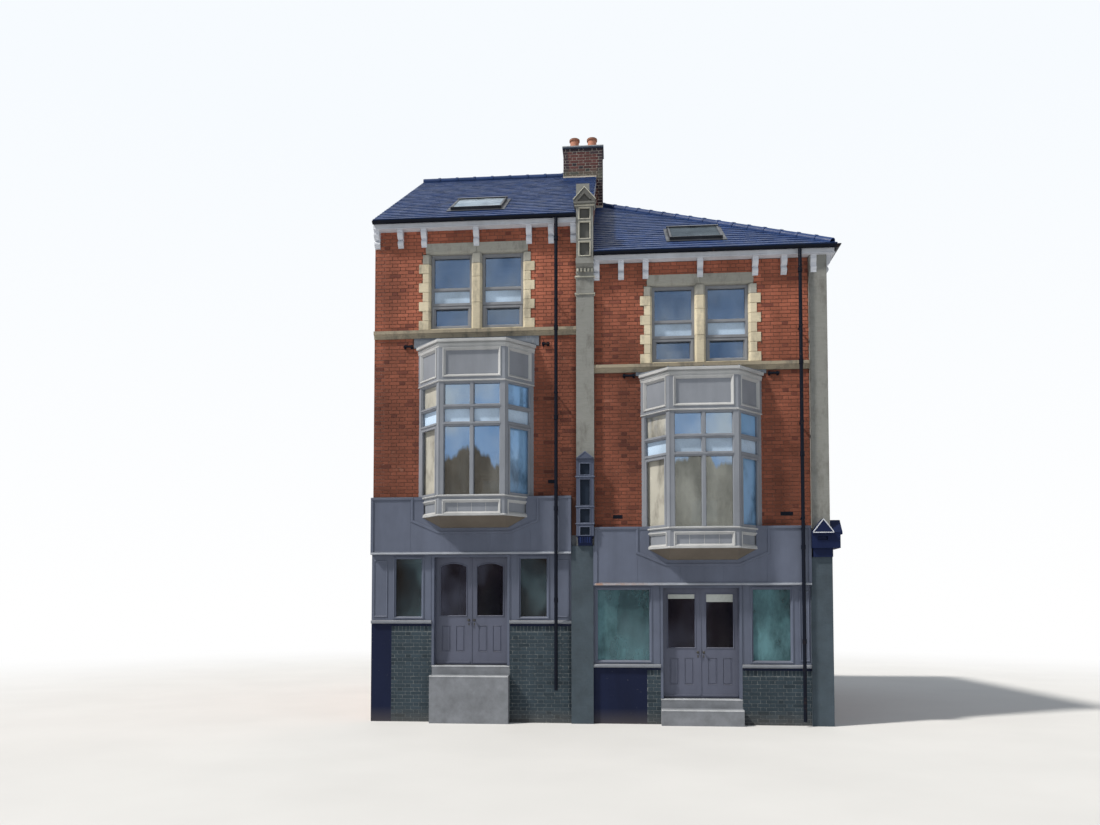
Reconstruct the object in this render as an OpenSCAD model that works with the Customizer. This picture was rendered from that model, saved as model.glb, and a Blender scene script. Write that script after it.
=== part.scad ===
// Corner shop building on a falling street: two matching shop units under slate roofs,
// each with a shopfront, a canted oriel bay and a pair of stone-framed windows above it.
// X runs along the street front to the right, -Y faces the street, Z is up, all in millimetres.
// The origin is the centre of the building's box on the plane of its lowest ground.

/* [Plan] */
// Left party wall face to the middle pilaster's centre line
left_w = 4370; // [4300:10:4900]
// Middle pilaster's centre line to the side street wall's face
right_w = 4770; // [4700:10:5300]
// Depth from the front brick face to the rear brick face
depth = 8600; // [7600:50:10500]
// Thickness of the brick outer walls
wall_t = 330; // [230:5:400]
// Thickness of the two party walls
party_t = 230; // [200:5:330]
// Window axis of the left unit, from the middle pilaster's centre line
left_axis = 2235; // [2180:5:2300]
// Window axis of the right unit, from the middle pilaster's centre line
right_axis = 2315; // [2260:5:2380]

/* [Levels] */
// Left shop's door threshold above the lowest ground
threshold = 1140; // [1050:5:1300]
// Fall from the left unit to the right unit in thresholds, shop heads and fascias
shop_fall = 635; // [560:5:700]
// Fall from the left unit to the right unit in the shop window sills
sill_fall = 865; // [840:5:890]
// Fall from the left unit to the right unit in the oriels and first floors
oriel_fall = 670; // [640:5:720]
// Fall from the left unit to the right unit in everything above the oriels
upper_fall = 805; // [770:5:815]
// Threshold to the underside of the shop fascia
shop_h = 2240; // [2150:5:2400]
// Threshold to the top of the left shop's window sills
sill_rise = 910; // [860:5:960]
// Depth of the floors from top to ceiling
floor_t = 240; // [180:5:300]
// Left unit's first floor above the lowest ground
first_floor = 4130; // [4100:5:4150]
// First floor to second floor
storey_h = 3150; // [3000:10:3200]
// Second floor to attic floor
upper_storey_h = 2800; // [2700:10:2850]

/* [Roof] */
// Pitch of the front and rear slopes
pitch = 35; // [30:0.5:42]
// Left unit's slate edge above the lowest ground
eave_z = 10290; // [10260:5:10350]
// Depth of slates, battens and rafters, measured plumb
roof_t = 185; // [140:5:240]
// Thickness of the slates where they pass over the gutter
slate_tip = 25; // [15:1:30]
// Overhang of the slates beyond the wall face
slate_over = 210; // [205:1:225]
// Overhang of the eaves fascia board beyond the wall face
eave_over = 160; // [150:5:170]
// Thickness of the eaves boards
board_t = 28; // [18:1:35]
// Underside of the eaves soffit below the slate edge
soffit_drop = 180; // [165:5:200]
// Radius of the half-round gutter
gutter_r = 55; // [45:1:60]
// Thickness of the gutter's wall
gutter_t = 5; // [4:0.5:8]
// Radius of the ridge and hip tiles
ridge_r = 95; // [80:1:120]
// Distance of the hipped roof's peak from the middle pilaster's centre line
peak_x = 230; // [200:5:280]
// Skylight width
skylight_w = 1090; // [900:10:1200]
// Skylight length up the slope
skylight_l = 1110; // [1000:10:1250]
// Left skylight's lower edge, up the slope from the slate edge
skylight_up_left = 780; // [700:10:1300]
// Right skylight's lower edge, up the slope from the slate edge
skylight_up_right = 750; // [700:10:1200]
// Width of the skylight's frame members
skylight_frame = 70; // [50:5:90]
// Height of the skylight above the slates
skylight_rise = 60; // [40:5:90]

/* [Chimney] */
// Chimney width along the ridge
chimney_w = 990; // [900:10:1100]
// Chimney depth across the ridge
chimney_d = 520; // [460:10:600]
// Chimney's centre to the left of the middle pilaster's centre line
chimney_left = 195; // [150:5:230]
// Chimney height above the left ridge
chimney_h = 640; // [500:10:900]
// Thickness of the slab that caps the chimney
chimney_cap = 60; // [40:5:100]
// Oversail of the slab that caps the chimney
chimney_sail = 30; // [15:5:60]
// Height of the chimney pots
pot_h = 300; // [250:5:400]
// Outer radius of the chimney pots
pot_r = 135; // [110:5:150]
// Distance of each pot from the chimney's centre
pot_offset = 225; // [180:5:280]

/* [Eaves brackets] */
// Bracket width
bracket_w = 115; // [90:5:140]
// Bracket height
bracket_h = 350; // [320:5:400]
// Bracket projection at the soffit
bracket_out = 130; // [110:5:150]
// Distance of the inner brackets from a unit's window axis
bracket_near = 1090; // [1050:5:1150]
// Greatest spacing of the brackets on the side street
bracket_pitch = 1050; // [900:10:1300]

/* [Upper windows] */
// Sill of the left unit's second floor windows above the lowest ground
light_z = 8045; // [8040:5:8080]
// Height of a light
light_h = 1580; // [1500:5:1650]
// Width of a light
light_w = 855; // [800:5:900]
// Width of the stone mullion between a pair of lights
mullion_w = 215; // [180:5:260]
// Width of the narrow jamb stones
jamb_stone = 160; // [120:5:200]
// Extra width of the long jamb stones
tooth = 80; // [50:5:110]
// Height of one jamb stone
tooth_h = 197.5; // [150:0.5:260]
// Height of the stone lintel
lintel_h = 215; // [180:5:260]
// Stone lintel beyond the lights at each end
lintel_end = 100; // [60:5:120]
// Projection of the stones beyond the brick
stone_out = 18; // [10:1:30]
// Depth of the stone reveal
reveal = 110; // [90:5:130]
// Stone between the string course and the lights
string_lap = 15; // [10:1:30]
// String course height
string_h = 175; // [140:5:200]
// String course projection
string_out = 80; // [60:5:110]
// Width of sash and casement members
sash = 50; // [35:1:60]
// Depth of sash and casement members
sash_d = 60; // [45:1:80]
// Thickness of the window glass
glass_t = 12; // [6:1:20]
// Light's sill to the underside of its lower transom
low_pane = 470; // [430:5:500]
// Height of the light's middle pane
mid_pane = 270; // [230:5:300]

/* [Side and rear windows] */
// Window width
plain_w = 900; // [800:10:1000]
// Window height
plain_h = 1500; // [1350:10:1600]
// Floor to window sill
plain_sill = 640; // [600:10:660]
// Height of the stone sills and lintels
plain_stone = 140; // [100:5:180]
// Bearing of the stone sills and lintels beyond the opening
plain_bearing = 120; // [80:5:160]

/* [Oriels] */
// Half width of the oriel at the wall
bay_half = 1190; // [1120:5:1230]
// Projection of the oriel
bay_out = 530; // [480:5:560]
// Left oriel's underside above the lowest ground
bay_z = 4120; // [4110:5:4140]
// Depth of the splayed base below the oriel
bay_splay = 225; // [180:5:250]
// Half width of the splayed base where it meets the fascia
splay_half = 680; // [640:5:720]
// Height of the panelled apron
apron_h = 380; // [350:5:410]
// Height of the glazed part, from apron to panelled head
glazed_h = 2320; // [2200:10:2350]
// Height of the panelled head
head_h = 710; // [650:5:720]
// Thickness of the oriel's walls and posts
bay_t = 75; // [60:1:95]
// Width of the oriel's corner posts on each face
bay_post = 92; // [80:1:105]
// Width of the oriel's mullion and transoms
bay_bar = 60; // [45:1:70]
// Oriel's lowest glass edge above the apron
bay_sill = 35; // [25:1:60]
// Apron to the underside of the lower transom
bay_low = 1430; // [1380:5:1480]
// Clear height between the two transoms
bay_mid = 290; // [250:5:320]
// Depth of the sunk panels
panel_sink = 30; // [20:1:40]
// Margin round the sunk panels
panel_margin = 92; // [80:1:110]
// Projection of the oriel's cornice
cornice_out = 70; // [50:5:80]
// Height of the oriel's cornice
cornice_h = 120; // [90:5:130]
// Projection of the oriel's window sill
bay_nose = 25; // [15:1:40]

/* [Shopfronts] */
// Reach of the shop level's middle pilaster to the left of its centre line
pier_left = 280; // [260:5:320]
// Reach of the shop level's middle pilaster to the right of its centre line
pier_right = 160; // [140:5:200]
// Height of the fascia boards
fascia_h = 1165; // [1120:5:1190]
// Projection of the fascia boards
fascia_out = 150; // [130:5:165]
// Height of the raised borders on the fascia boards
fascia_trim = 60; // [45:1:80]
// Height of the fascia's drip moulding
drip_h = 50; // [40:1:70]
// Projection of the drip moulding
drip_out = 20; // [10:1:25]
// Depth of the beam that carries the wall over a shopfront
beam_h = 380; // [330:5:430]
// Face of the shopfront joinery beyond the brick face
front_out = 50; // [30:5:70]
// Depth of the shopfront joinery
front_d = 100; // [80:5:110]
// Height of the rail under the beam
head_rail = 50; // [40:1:70]
// Height of the bottom rail on the shop sills
low_rail = 40; // [30:1:60]
// Width of the left shop's blank end panels
blank_left = 350; // [300:5:400]
// Width of the right shop's blank panel at the corner
blank_right = 240; // [200:5:280]
// Width of the stiles beside the blank panels
stile = 115; // [90:5:140]
// Width of the right shop's stile at the middle pilaster
slim_stile = 50; // [40:5:80]
// Width of the posts between shop window and door frame
shop_post = 185; // [150:5:220]
// Thickness of the shop window sills
shop_sill = 70; // [60:5:90]
// Nosing of the shop window sills beyond the risers
sill_nose = 60; // [40:5:80]
// Thickness of the brick stall risers
riser_t = 215; // [180:5:260]

/* [Doors] */
// Clear width between the door jambs
door_w = 1490; // [1400:5:1560]
// Width of the door jambs
jamb = 50; // [40:1:60]
// Thickness of a door leaf
leaf_t = 45; // [40:1:50]
// Recess of the leaves behind the face of the joinery
leaf_in = 130; // [115:5:140]
// Running gap round a leaf
leaf_gap = 7; // [6:0.5:8]
// Gap under a leaf and between meeting leaves
meeting_gap = 9; // [8:0.5:12]
// Depth of the rebate in the jambs and the head
rebate = 13; // [11:0.5:16]
// Width of a leaf's stiles
leaf_stile = 98; // [85:1:110]
// Foot of a leaf to its lower panels
leaf_bottom = 265; // [220:5:300]
// Bottom of a leaf's glass above the threshold
leaf_lock = 985; // [940:5:1020]
// Top rail above a leaf's glass
leaf_top = 120; // [100:5:140]
// Rise of the left shop's arched glass heads
arch_rise = 70; // [50:5:90]
// Rail between a leaf's glass and its lower panels
leaf_rail = 200; // [170:5:230]
// Width of the muntin between a leaf's lower panels
leaf_muntin = 125; // [100:5:150]
// Lower panels set in from the edges of the leaf's glass
panel_inset = 45; // [30:5:60]
// Radius of the hinge knuckles
knuckle_r = 8; // [7:0.5:10]
// Length of a hinge knuckle
knuckle_h = 55; // [40:5:80]
// Height of a step's riser
step_rise = 190; // [150:5:220]
// Depth of a step's tread
step_tread = 230; // [180:5:250]

/* [Pilasters] */
// Width of the middle pilaster's shaft
pil_w = 360; // [320:5:400]
// Extra width of the corner pilaster at shop level, on each side
pier_grow = 35; // [20:5:50]
// Projection of the pilasters' shafts
pil_out = 100; // [80:5:120]
// Projection of the middle pilaster's niched head
head_out = 200; // [170:5:230]
// Middle pilaster's niched head, height of its foot above the lowest ground
niche_z = 9345; // [9300:5:9400]
// Height of the niched head up to its gabled cap
niche_h = 1110; // [1050:5:1150]
// Depth of the niches
niche_d = 55; // [40:5:80]
// Top of the rendered block behind the middle pilaster's cap, above the lowest ground
block_top = 10990; // [10900:5:11100]
// Depth of the rendered block
block_d = 260; // [200:5:320]
// Height of the gabled caps
gable_h = 270; // [220:5:300]
// Width of the corner pilaster's shaft on each street
corner_w = 340; // [300:5:360]
// Corner pilaster's projection on the side street
corner_side = 20; // [10:5:50]
// Height of the middle console
console_h = 1720; // [1600:10:1800]
// Middle console's foot above the lowest ground
console_z = 3540; // [3480:5:3600]
// Projection of the consoles
console_out = 230; // [200:5:260]
// Height of the corner console
corner_console_h = 445; // [400:5:500]
// Corner console's foot above the lowest ground
corner_console_z = 3290; // [3200:5:3350]

/* [Downpipes] */
// Radius of the downpipes
pipe_r = 35; // [30:1:40]
// Left downpipe from the middle pilaster's centre line
pipe_left = 580; // [540:5:640]
// Right downpipe from the side street wall's face
pipe_right = 520; // [500:5:550]
// Axis of the downpipes in front of the brick face
pipe_out = 215; // [205:1:225]
// Greatest spacing of the downpipes' clips
clip_pitch = 1900; // [1200:50:2400]

/* [Hidden] */

big = 40000;
cut = 1;
units = [0, 1];
ends = [-1, 1];
bed_gap = 0.2;

// Levels of the two units, left then right
thresholds = [threshold, threshold - shop_fall];
fascia_zs = [for (u = units) thresholds[u] + shop_h];
sill_zs = [threshold + sill_rise, threshold + sill_rise - sill_fall];
bay_zs = [bay_z, bay_z - oriel_fall];
light_zs = [light_z, light_z - upper_fall];
eave_zs = [eave_z, eave_z - upper_fall];
first_zs = [first_floor, first_floor - oriel_fall];
second_zs = [first_floor + storey_h, first_floor + storey_h - upper_fall];
attic_zs = [second_zs[0] + upper_storey_h, second_zs[1] + upper_storey_h];
soffit_zs = [for (u = units) eave_zs[u] - soffit_drop];
lintel_zs = [for (u = units) light_zs[u] + light_h];
string_zs = [for (u = units) light_zs[u] - string_lap];

// Plan: the unit's walls inside the cross walls, its brick face between the pilasters, its shop bay
axes_x = [-left_axis, right_axis];
room_x = [[-left_w + party_t, -party_t / 2], [party_t / 2, right_w - wall_t]];
face_x = [[-left_w, -pil_w / 2], [pil_w / 2, right_w + corner_side - corner_w]];
shop_x = [[-left_w, -pier_left], [pier_right, right_w + corner_side - corner_w - pier_grow]];
door_x = [for (u = units) (shop_x[u][0] + shop_x[u][1]) / 2];

// Roof: front and rear slopes rise to the ridge, the right one is hipped to the side street
ridge_y = depth / 2;
ridge_rise = round((ridge_y + slate_over) * tan(pitch));
slope = ridge_rise / (ridge_y + slate_over);
tip_x = right_w + slate_over;
side_slope = ridge_rise / (tip_x - peak_x);
rafter_foot = board_t + bed_gap - eave_over;
side_foot = right_w - rafter_foot;
verge_lap = 30;
board_drop = 1.4 * slate_tip;
left_verge = party_t / 2 + verge_lap;
hip_stop = 90;
skylight_ups = [skylight_up_left, skylight_up_right];
hip_ratio = (ridge_y + slate_over) / (tip_x - peak_x);
side_bracket_n = ceil(depth / bracket_pitch) - 1;
pot_hole = 0.72 * pot_r;

// Box of the whole building
front_most = bay_out + cornice_out;
gutter_axis = eave_over + gutter_r;
gutter_far = gutter_axis + gutter_r;
mid_x = (right_w + gutter_far - left_w) / 2;
mid_y = (depth + gutter_far - front_most) / 2;

// Doors
leaf_face = leaf_in - front_out;
leaf_back = leaf_face + leaf_t;
jamb_step = 15;
jamb_back = leaf_back - jamb_step;
hinge_bite = 17;
panel_depth = 8;
leaf_w = door_w / 2 + rebate - leaf_gap - meeting_gap / 2;
leaf_h = shop_h - head_rail + rebate - leaf_gap - meeting_gap;
hinge_xs = [for (u = units) for (e = ends) door_x[u] + e * (door_w / 2 + rebate - leaf_gap)];
knuckle_zs = [0.12 * leaf_h, 0.5 * leaf_h, 0.88 * leaf_h];
pin_gap = 0.3;

// Oriels
bay_front = bay_half - bay_out;
cant_l = bay_out * sqrt(2);
upstand_end = 105;
head_grow = 0.4 * bay_nose;
sash_front = reveal - stone_out;
lights_half = light_w + mullion_w / 2;
wall_stone = lights_half + jamb_stone;

// Places of the rear and side windows as shares of a room's width and of the depth
rear_window_shares = [0.27, 0.73];
side_window_shares = [0.3, 0.7];

// Foot and top of each niche above the foot of the pilaster's head, of each recess above the console's
niches = [[60, 340], [410, 750], [820, 1040]];
recesses = [[200, 370], [450, 730], [800, 1320], [1410, 1640]];
niche_half = 108;
recess_margin = 75;
recess_d = 40;
ledge_drop = 680;
ledge_h = 60;
ledge_out = 30;
pier_out = 20;
cap_out = 90;
cap_sink = 30;
block_x = [-pil_w / 2, party_t / 2 - 25];
block_tie = 40;
head_half = 0.475 * pil_w;

// Section of the capital under the niched head: a hollow, a plain band and a moulded shelf
capital_outline = [[0, niche_z - 340], [-pil_out, niche_z - 340], [-pil_out - 25, niche_z - 290],
    [-pil_out - 25, niche_z - 180], [-head_out, niche_z - 130], [-head_out - 35, niche_z - 110],
    [-head_out - 35, niche_z], [0, niche_z]];

// Console's tapered foot, its moulding and its gable
foot_h = 120;
taper_h = 180;
console_step = 30;
console_gable = [25, 165];
corner_taper = 170;
corner_gable = [45, 300];

// Downpipe's swan neck, its sockets and its clips
neck_drop = 250;
socket_r = pipe_r + 4;
clip_grow = 6;
clip_h = 40;
clip_half = 12;

brick = "firebrick";
stone = "wheat";
paint = "slategray";
dark_paint = "darkslategray";
white_paint = "gainsboro";
slate = "midnightblue";
pane = "lightblue";

// Moves the street frame (x from the middle pilaster, y from the brick face) to the part's frame
module place() {
    translate([-mid_x, -mid_y, 0]) children();
}

module box(x, y, z) {
    translate([x[0], y[0], z[0]]) cube([x[1] - x[0], y[1] - y[0], z[1] - z[0]]);
}

// Extrudes an outline drawn in y and z along x
module along_x(x) {
    translate([x[0], 0, 0]) rotate([90, 0, 90]) linear_extrude(x[1] - x[0]) children();
}

// Extrudes an outline drawn in x and z along y
module along_y(y) {
    translate([0, y[1], 0]) rotate([90, 0, 0]) linear_extrude(y[1] - y[0]) children();
}

// Spans along one axis: upwards, downwards, between two offsets and about a centre
function up(a, h) = [a, a + h];
function down(a, h) = [a - h, a];
function from(a, lo, hi) = [a + lo, a + hi];
function about(a, half) = [a - half, a + half];

// Top of the eaves boards and height of the gutters' axes
function gutter_z(u) = eave_zs[u] - board_drop;

function fold_y(y) = min(y, depth - y);
function roof_z(u, y) = eave_zs[u] + (fold_y(y) + slate_over) * slope;
chimney_top = roof_z(0, ridge_y) + chimney_h;
function side_z(x) = eave_zs[1] + (tip_x - x) * side_slope;

// Everything below the underside of a unit's front and rear slopes
module under_roof(u, x) {
    under = roof_t + bed_gap;
    along_x(x) polygon([[0, 0], [depth, 0], [depth, roof_z(u, depth) - under],
        [ridge_y, roof_z(u, ridge_y) - under], [0, roof_z(u, 0) - under]]);
}

// Everything below the underside of the hipped side slope
module under_side(y) {
    under = roof_t + bed_gap;
    along_y(y) polygon([[-left_w, 0], [right_w, 0], [right_w, side_z(right_w) - under],
        [-left_w, side_z(-left_w) - under]]);
}

module window_hole(u, e_back) {
    box(about(axes_x[u], wall_stone), [-cut, e_back], [string_zs[u], lintel_zs[u]]);
    box(about(axes_x[u], lights_half + lintel_end), [-cut, e_back],
        [lintel_zs[u] - cut, lintel_zs[u] + lintel_h]);
}

function side_windows_y() = side_window_shares * depth;
function rear_windows_x(u) = [for (t = rear_window_shares)
    room_x[u][0] + t * (room_x[u][1] - room_x[u][0])];
function floors_of(u) = [first_zs[u], second_zs[u]];

module chimney_hole() {
    box(about(-chimney_left, chimney_w / 2), about(ridge_y, chimney_d / 2), [attic_zs[0], big]);
}

module party_walls() color(brick) place() {
    under_roof(0, [-left_w, -left_w + party_t]);
    difference() {
        under_roof(0, party_t / 2 * [-1, 1]);
        chimney_hole();
    }
}

module front_walls() color(brick) place() for (u = units) difference() {
    intersection() {
        under_roof(u, room_x[u]);
        if (u == 1) under_side([0, depth]);
        box(room_x[u], [0, wall_t], [fascia_zs[u] + beam_h, big]);
    }
    window_hole(u, wall_t + cut);
    box(about(axes_x[u], bay_half - bay_t * sqrt(2)), [-cut, wall_t + cut],
        [first_zs[u], bay_zs[u] + apron_h + glazed_h + bay_post]);
}

module rear_walls() color(brick) place() for (u = units) difference() {
    intersection() {
        under_roof(u, room_x[u]);
        if (u == 1) under_side([0, depth]);
        box(room_x[u], [depth - wall_t, depth], [0, big]);
    }
    for (x = rear_windows_x(u), z = floors_of(u)) box(about(x, plain_w / 2),
        [depth - wall_t - cut, depth + cut], up(z + plain_sill, plain_h));
    for (x = rear_windows_x(u), z = floors_of(u)) plain_stone_pair(x, depth, z, 0, depth - wall_t - cut);
}

module side_wall() color(brick) place() difference() {
    intersection() {
        under_roof(1, [right_w - wall_t, right_w]);
        under_side([0, depth]);
    }
    for (y = side_windows_y(), z = floors_of(1)) {
        box([right_w - wall_t - cut, right_w + cut], about(y, plain_w / 2), up(z + plain_sill, plain_h));
        side_stone_pair(y, z, 0, wall_t + cut);
    }
}

// Stone sill and lintel of a rear window, from the back of the wall to a little beyond its face
module plain_stone_pair(x, face, z, out, back) {
    box(about(x, plain_w / 2 + plain_bearing), [back, face + out],
        up(z + plain_sill + plain_h, plain_stone));
    box(about(x, plain_w / 2 + plain_bearing), [back, face + out], down(z + plain_sill, plain_stone));
}

module side_stone_pair(y, z, out, back) {
    box([right_w - back, right_w + out], about(y, plain_w / 2 + plain_bearing),
        up(z + plain_sill + plain_h, plain_stone));
    box([right_w - back, right_w + out], about(y, plain_w / 2 + plain_bearing),
        down(z + plain_sill, plain_stone));
}

module plain_stones() color(stone) place() {
    for (u = units, x = rear_windows_x(u), z = floors_of(u))
        plain_stone_pair(x, depth, z, stone_out * 2, depth - wall_t);
    for (y = side_windows_y(), z = floors_of(1)) side_stone_pair(y, z, stone_out * 2, wall_t);
}

module shop_beams() color("dimgray") place() for (u = units)
    box(room_x[u], [0, wall_t], up(fascia_zs[u], beam_h));

module ground_floors() color("burlywood") place() for (u = units)
    box(room_x[u], [riser_t - front_out, depth - wall_t], down(thresholds[u], floor_t));

module upper_floors() color("burlywood") place()
    for (u = units, z = [first_zs[u], second_zs[u], attic_zs[u]])
        box(room_x[u], [wall_t, depth - wall_t], down(z, floor_t));

// Section of a slope, out from the wall and up, with its thin slate tip over the gutter
function slope_outline(u) = [[-slate_over, eave_zs[u]], [ridge_y, roof_z(u, ridge_y)],
    [ridge_y, roof_z(u, ridge_y) - roof_t], [rafter_foot, roof_z(u, rafter_foot) - roof_t],
    [rafter_foot, roof_z(u, rafter_foot) - slate_tip], [-slate_over, eave_zs[u] - slate_tip]];

module front_plan(u) {
    if (u == 0) translate([-left_w, -slate_over]) square([left_w + left_verge, ridge_y + slate_over]);
    else polygon([[party_t / 2, -slate_over], [tip_x, -slate_over], [peak_x, ridge_y],
        [party_t / 2, ridge_y]]);
}

module front_slope(u) intersection() {
    along_x([-left_w, tip_x]) polygon(slope_outline(u));
    linear_extrude(big) front_plan(u);
}

// Places children at a unit's skylight, x along the eaves, y up the slope, z out of the slates
module on_slope(u) {
    translate([door_x[u], -slate_over, eave_zs[u]]) rotate([atan(slope), 0, 0])
        translate([0, skylight_ups[u], 0]) children();
}

module skylight_box(shrink, z) {
    box((skylight_w / 2 - shrink) * [-1, 1], [shrink, skylight_l - shrink], z);
}

module roof_front() color(slate) place() for (u = units) difference() {
    front_slope(u);
    chimney_hole();
    on_slope(u) skylight_box(-bed_gap, 4 * roof_t * [-1, 1]);
    box([-pil_w / 2, pil_w / 2], [-slate_over - cut, 0], [0, big]);
}

module roof_rear() color(slate) place() for (u = units) difference() {
    translate([0, depth, 0]) mirror([0, 1, 0]) front_slope(u);
    chimney_hole();
}

module roof_side() color(slate) place() difference() {
    intersection() {
        along_y([-slate_over, depth + slate_over]) polygon([[tip_x, eave_zs[1]], [peak_x, side_z(peak_x)],
            [peak_x, side_z(peak_x) - roof_t], [side_foot, side_z(side_foot) - roof_t],
            [side_foot, side_z(side_foot) - slate_tip], [tip_x, eave_zs[1] - slate_tip]]);
        linear_extrude(big) polygon([[tip_x, 2 * bed_gap - slate_over], [peak_x + 2 * bed_gap, ridge_y],
            [tip_x, depth + slate_over - 2 * bed_gap]]);
    }
    chimney_hole();
    for (m = [0, 1]) translate([0, m * depth, 0]) mirror([0, m, 0])
        box([right_w, tip_x], [-slate_over - cut, rafter_foot], [0, gutter_z(1)]);
}

// Half of a capping tile's section: distance from its middle and height, outside then inside
tile_half = ridge_r * [[1, -0.3], [0.92, 0.4], [0.7, 0.74], [0.38, 0.94], [0, 1]];
tile_outline = concat(tile_half, [for (i = [1:4]) [-tile_half[4 - i][0], tile_half[4 - i][1]]]);

// Capping tile laid along a line between two points, high side up
module tile_run(start, end) {
    run = end - start;
    flat = norm([run[0], run[1]]);
    translate(start) rotate([0, atan2(flat, run[2]), atan2(run[1], run[0])]) linear_extrude(norm(run))
        polygon([for (p = tile_outline) [-p[1], p[0]]]);
}

module ridge_tiles() difference() {
    along_x([-left_w, left_verge]) translate([ridge_y, roof_z(0, ridge_y)]) polygon(tile_outline);
    under_slates(0, [-left_w - cut, left_verge + cut]);
    chimney_hole();
}

// Everything below a unit's front and rear slate faces, and the gap under the capping tiles
module under_slates(u, x) translate([0, 0, bed_gap]) along_x(x) polygon([[-slate_over, 0],
    [depth + slate_over, 0], [depth + slate_over, eave_zs[u]], [ridge_y, roof_z(u, ridge_y)],
    [-slate_over, eave_zs[u]]]);

module hip_tiles(m) translate([0, m * depth, 0]) mirror([0, m, 0]) difference() {
    tile_run([tip_x - hip_stop, -slate_over + hip_stop * hip_ratio, eave_zs[1] + hip_stop * side_slope],
        [peak_x, ridge_y, side_z(peak_x)]);
    intersection() {
        under_slates(1, [-left_w, tip_x]);
        translate([0, 0, bed_gap]) along_y([-slate_over - cut, depth]) polygon([[-left_w, 0], [tip_x, 0],
            [tip_x, eave_zs[1]], [-left_w, side_z(-left_w)]]);
    }
    chimney_hole();
    box([-left_w, party_t / 2], [0, depth], [0, big]);
    box([-left_w, right_w], [ridge_y, depth], [0, big]);
}

module ridge_and_hip_tiles() color(slate) place() {
    ridge_tiles();
    hip_tiles(0);
    hip_tiles(1);
}

module chimney_box(grow, z) {
    box(about(-chimney_left, chimney_w / 2 + grow), about(ridge_y, chimney_d / 2 + grow), z);
}
module chimney_stack() color(brick) place()
    chimney_box(0, [attic_zs[0], chimney_top - chimney_cap]);
module chimney_cap_slab() color("dimgray") place() difference() {
    chimney_box(chimney_sail, [chimney_top - chimney_cap, chimney_top]);
    for (e = ends) translate([-chimney_left + e * pot_offset, ridge_y, chimney_top - chimney_cap - cut])
        cylinder(r = pot_hole, h = chimney_cap + 2 * cut);
}
module chimney_pots() color("chocolate") place() for (e = ends)
    translate([-chimney_left + e * pot_offset, ridge_y, chimney_top]) rotate_extrude() {
        polygon([[pot_hole, 0], [pot_r, 0], [pot_r * 0.97, pot_h * 0.1], [pot_r * 0.86, pot_h * 0.2],
            [pot_r * 0.82, pot_h * 0.86], [pot_r * 0.95, pot_h * 0.9], [pot_r * 0.95, pot_h],
            [pot_hole, pot_h]]);
    }

module skylight_frames() color("dimgray") place() for (u = units) on_slope(u) difference() {
    skylight_box(0, [-roof_t * cos(atan(slope)), skylight_rise]);
    skylight_box(skylight_frame, [-roof_t, skylight_rise + cut]);
}

// Outline in plan of the right unit's eaves, at a distance from the wall faces
module eaves_plan(out, x_start) {
    translate([x_start, -out]) square([right_w + out - x_start, depth + 2 * out]);
}

module eaves_boards() color(white_paint) place() {
    for (m = [0, 1]) translate([0, m * depth, 0]) mirror([0, m, 0]) {
        x = [-left_w, m == 0 ? -pil_w / 2 : party_t / 2];
        box(x, [-eave_over, board_t - eave_over], [soffit_zs[0], gutter_z(0)]);
        box(x, [-eave_over, 0], up(soffit_zs[0], board_t));
    }
    difference() {
        union() {
            translate([0, 0, soffit_zs[1]]) linear_extrude(board_t) difference() {
                eaves_plan(eave_over, party_t / 2);
                translate([-big, 0]) square([big + right_w, depth]);
            }
            translate([0, 0, soffit_zs[1]]) linear_extrude(gutter_z(1) - soffit_zs[1]) difference() {
                eaves_plan(eave_over, party_t / 2);
                translate([-big, board_t - eave_over])
                    square([big + right_w + eave_over - board_t, depth + 2 * (eave_over - board_t)]);
            }
        }
        box([-big, pil_w / 2], [-big, 0], [0, big]);
    }
}

// Double scroll in section: a large lobe under the soffit and a small one at the foot
module scroll_outline(reach) {
    lobe = bracket_h * 0.3;
    foot = bracket_h * 0.2;
    translate([0, -bracket_h]) square([reach * 0.2, bracket_h]);
    translate([0, -bracket_h * 0.12]) square([reach, bracket_h * 0.12]);
    intersection() {
        union() {
            translate([reach - lobe * 1.02, -bracket_h * 0.22]) circle(r = lobe, $fn = 48);
            translate([reach * 0.6 - foot, -bracket_h + foot * 1.3]) circle(r = foot, $fn = 48);
        }
        translate([0, -bracket_h]) square([reach, bracket_h]);
    }
}

// Bracket that keeps its front line where stone or render stands proud of the bricks behind it
module bracket(proud) along_x(bracket_w / 2 * [-1, 1]) mirror([1, 0]) translate([proud, 0])
    scroll_outline(bracket_out - proud);

function end_brackets(u) = [for (i = [0, 1]) (u == 1 && i == 1) ? right_w + corner_side - corner_w * 0.75
    : face_x[u][i] + (1 - 2 * i) * bracket_w / 2];
function bracket_xs(u) = [for (e = [0, 1]) each [end_brackets(u)[e],
    axes_x[u] + ends[e] * bracket_near, (end_brackets(u)[e] + axes_x[u] + ends[e] * bracket_near) / 2],
    axes_x[u]];

module eaves_brackets() color("white") place() {
    for (u = units, x = bracket_xs(u)) translate([x, 0, soffit_zs[u]])
        bracket(x > face_x[1][1] ? pil_out : abs(x - axes_x[u]) < wall_stone + tooth ? stone_out : 0);
    translate([right_w, bracket_w / 2, soffit_zs[1]]) rotate([0, 0, 90]) bracket(corner_side);
    for (i = [1:side_bracket_n]) translate([right_w, i * depth / (side_bracket_n + 1), soffit_zs[1]])
        rotate([0, 0, 90]) bracket(0);
}

// Half-round gutter in section, centred on its axis
module gutter_ring() difference() {
    circle(r = gutter_r, $fn = 48);
    circle(r = gutter_r - gutter_t, $fn = 48);
    translate([-gutter_r * 2, 0]) square(gutter_r * 4);
}

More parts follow.
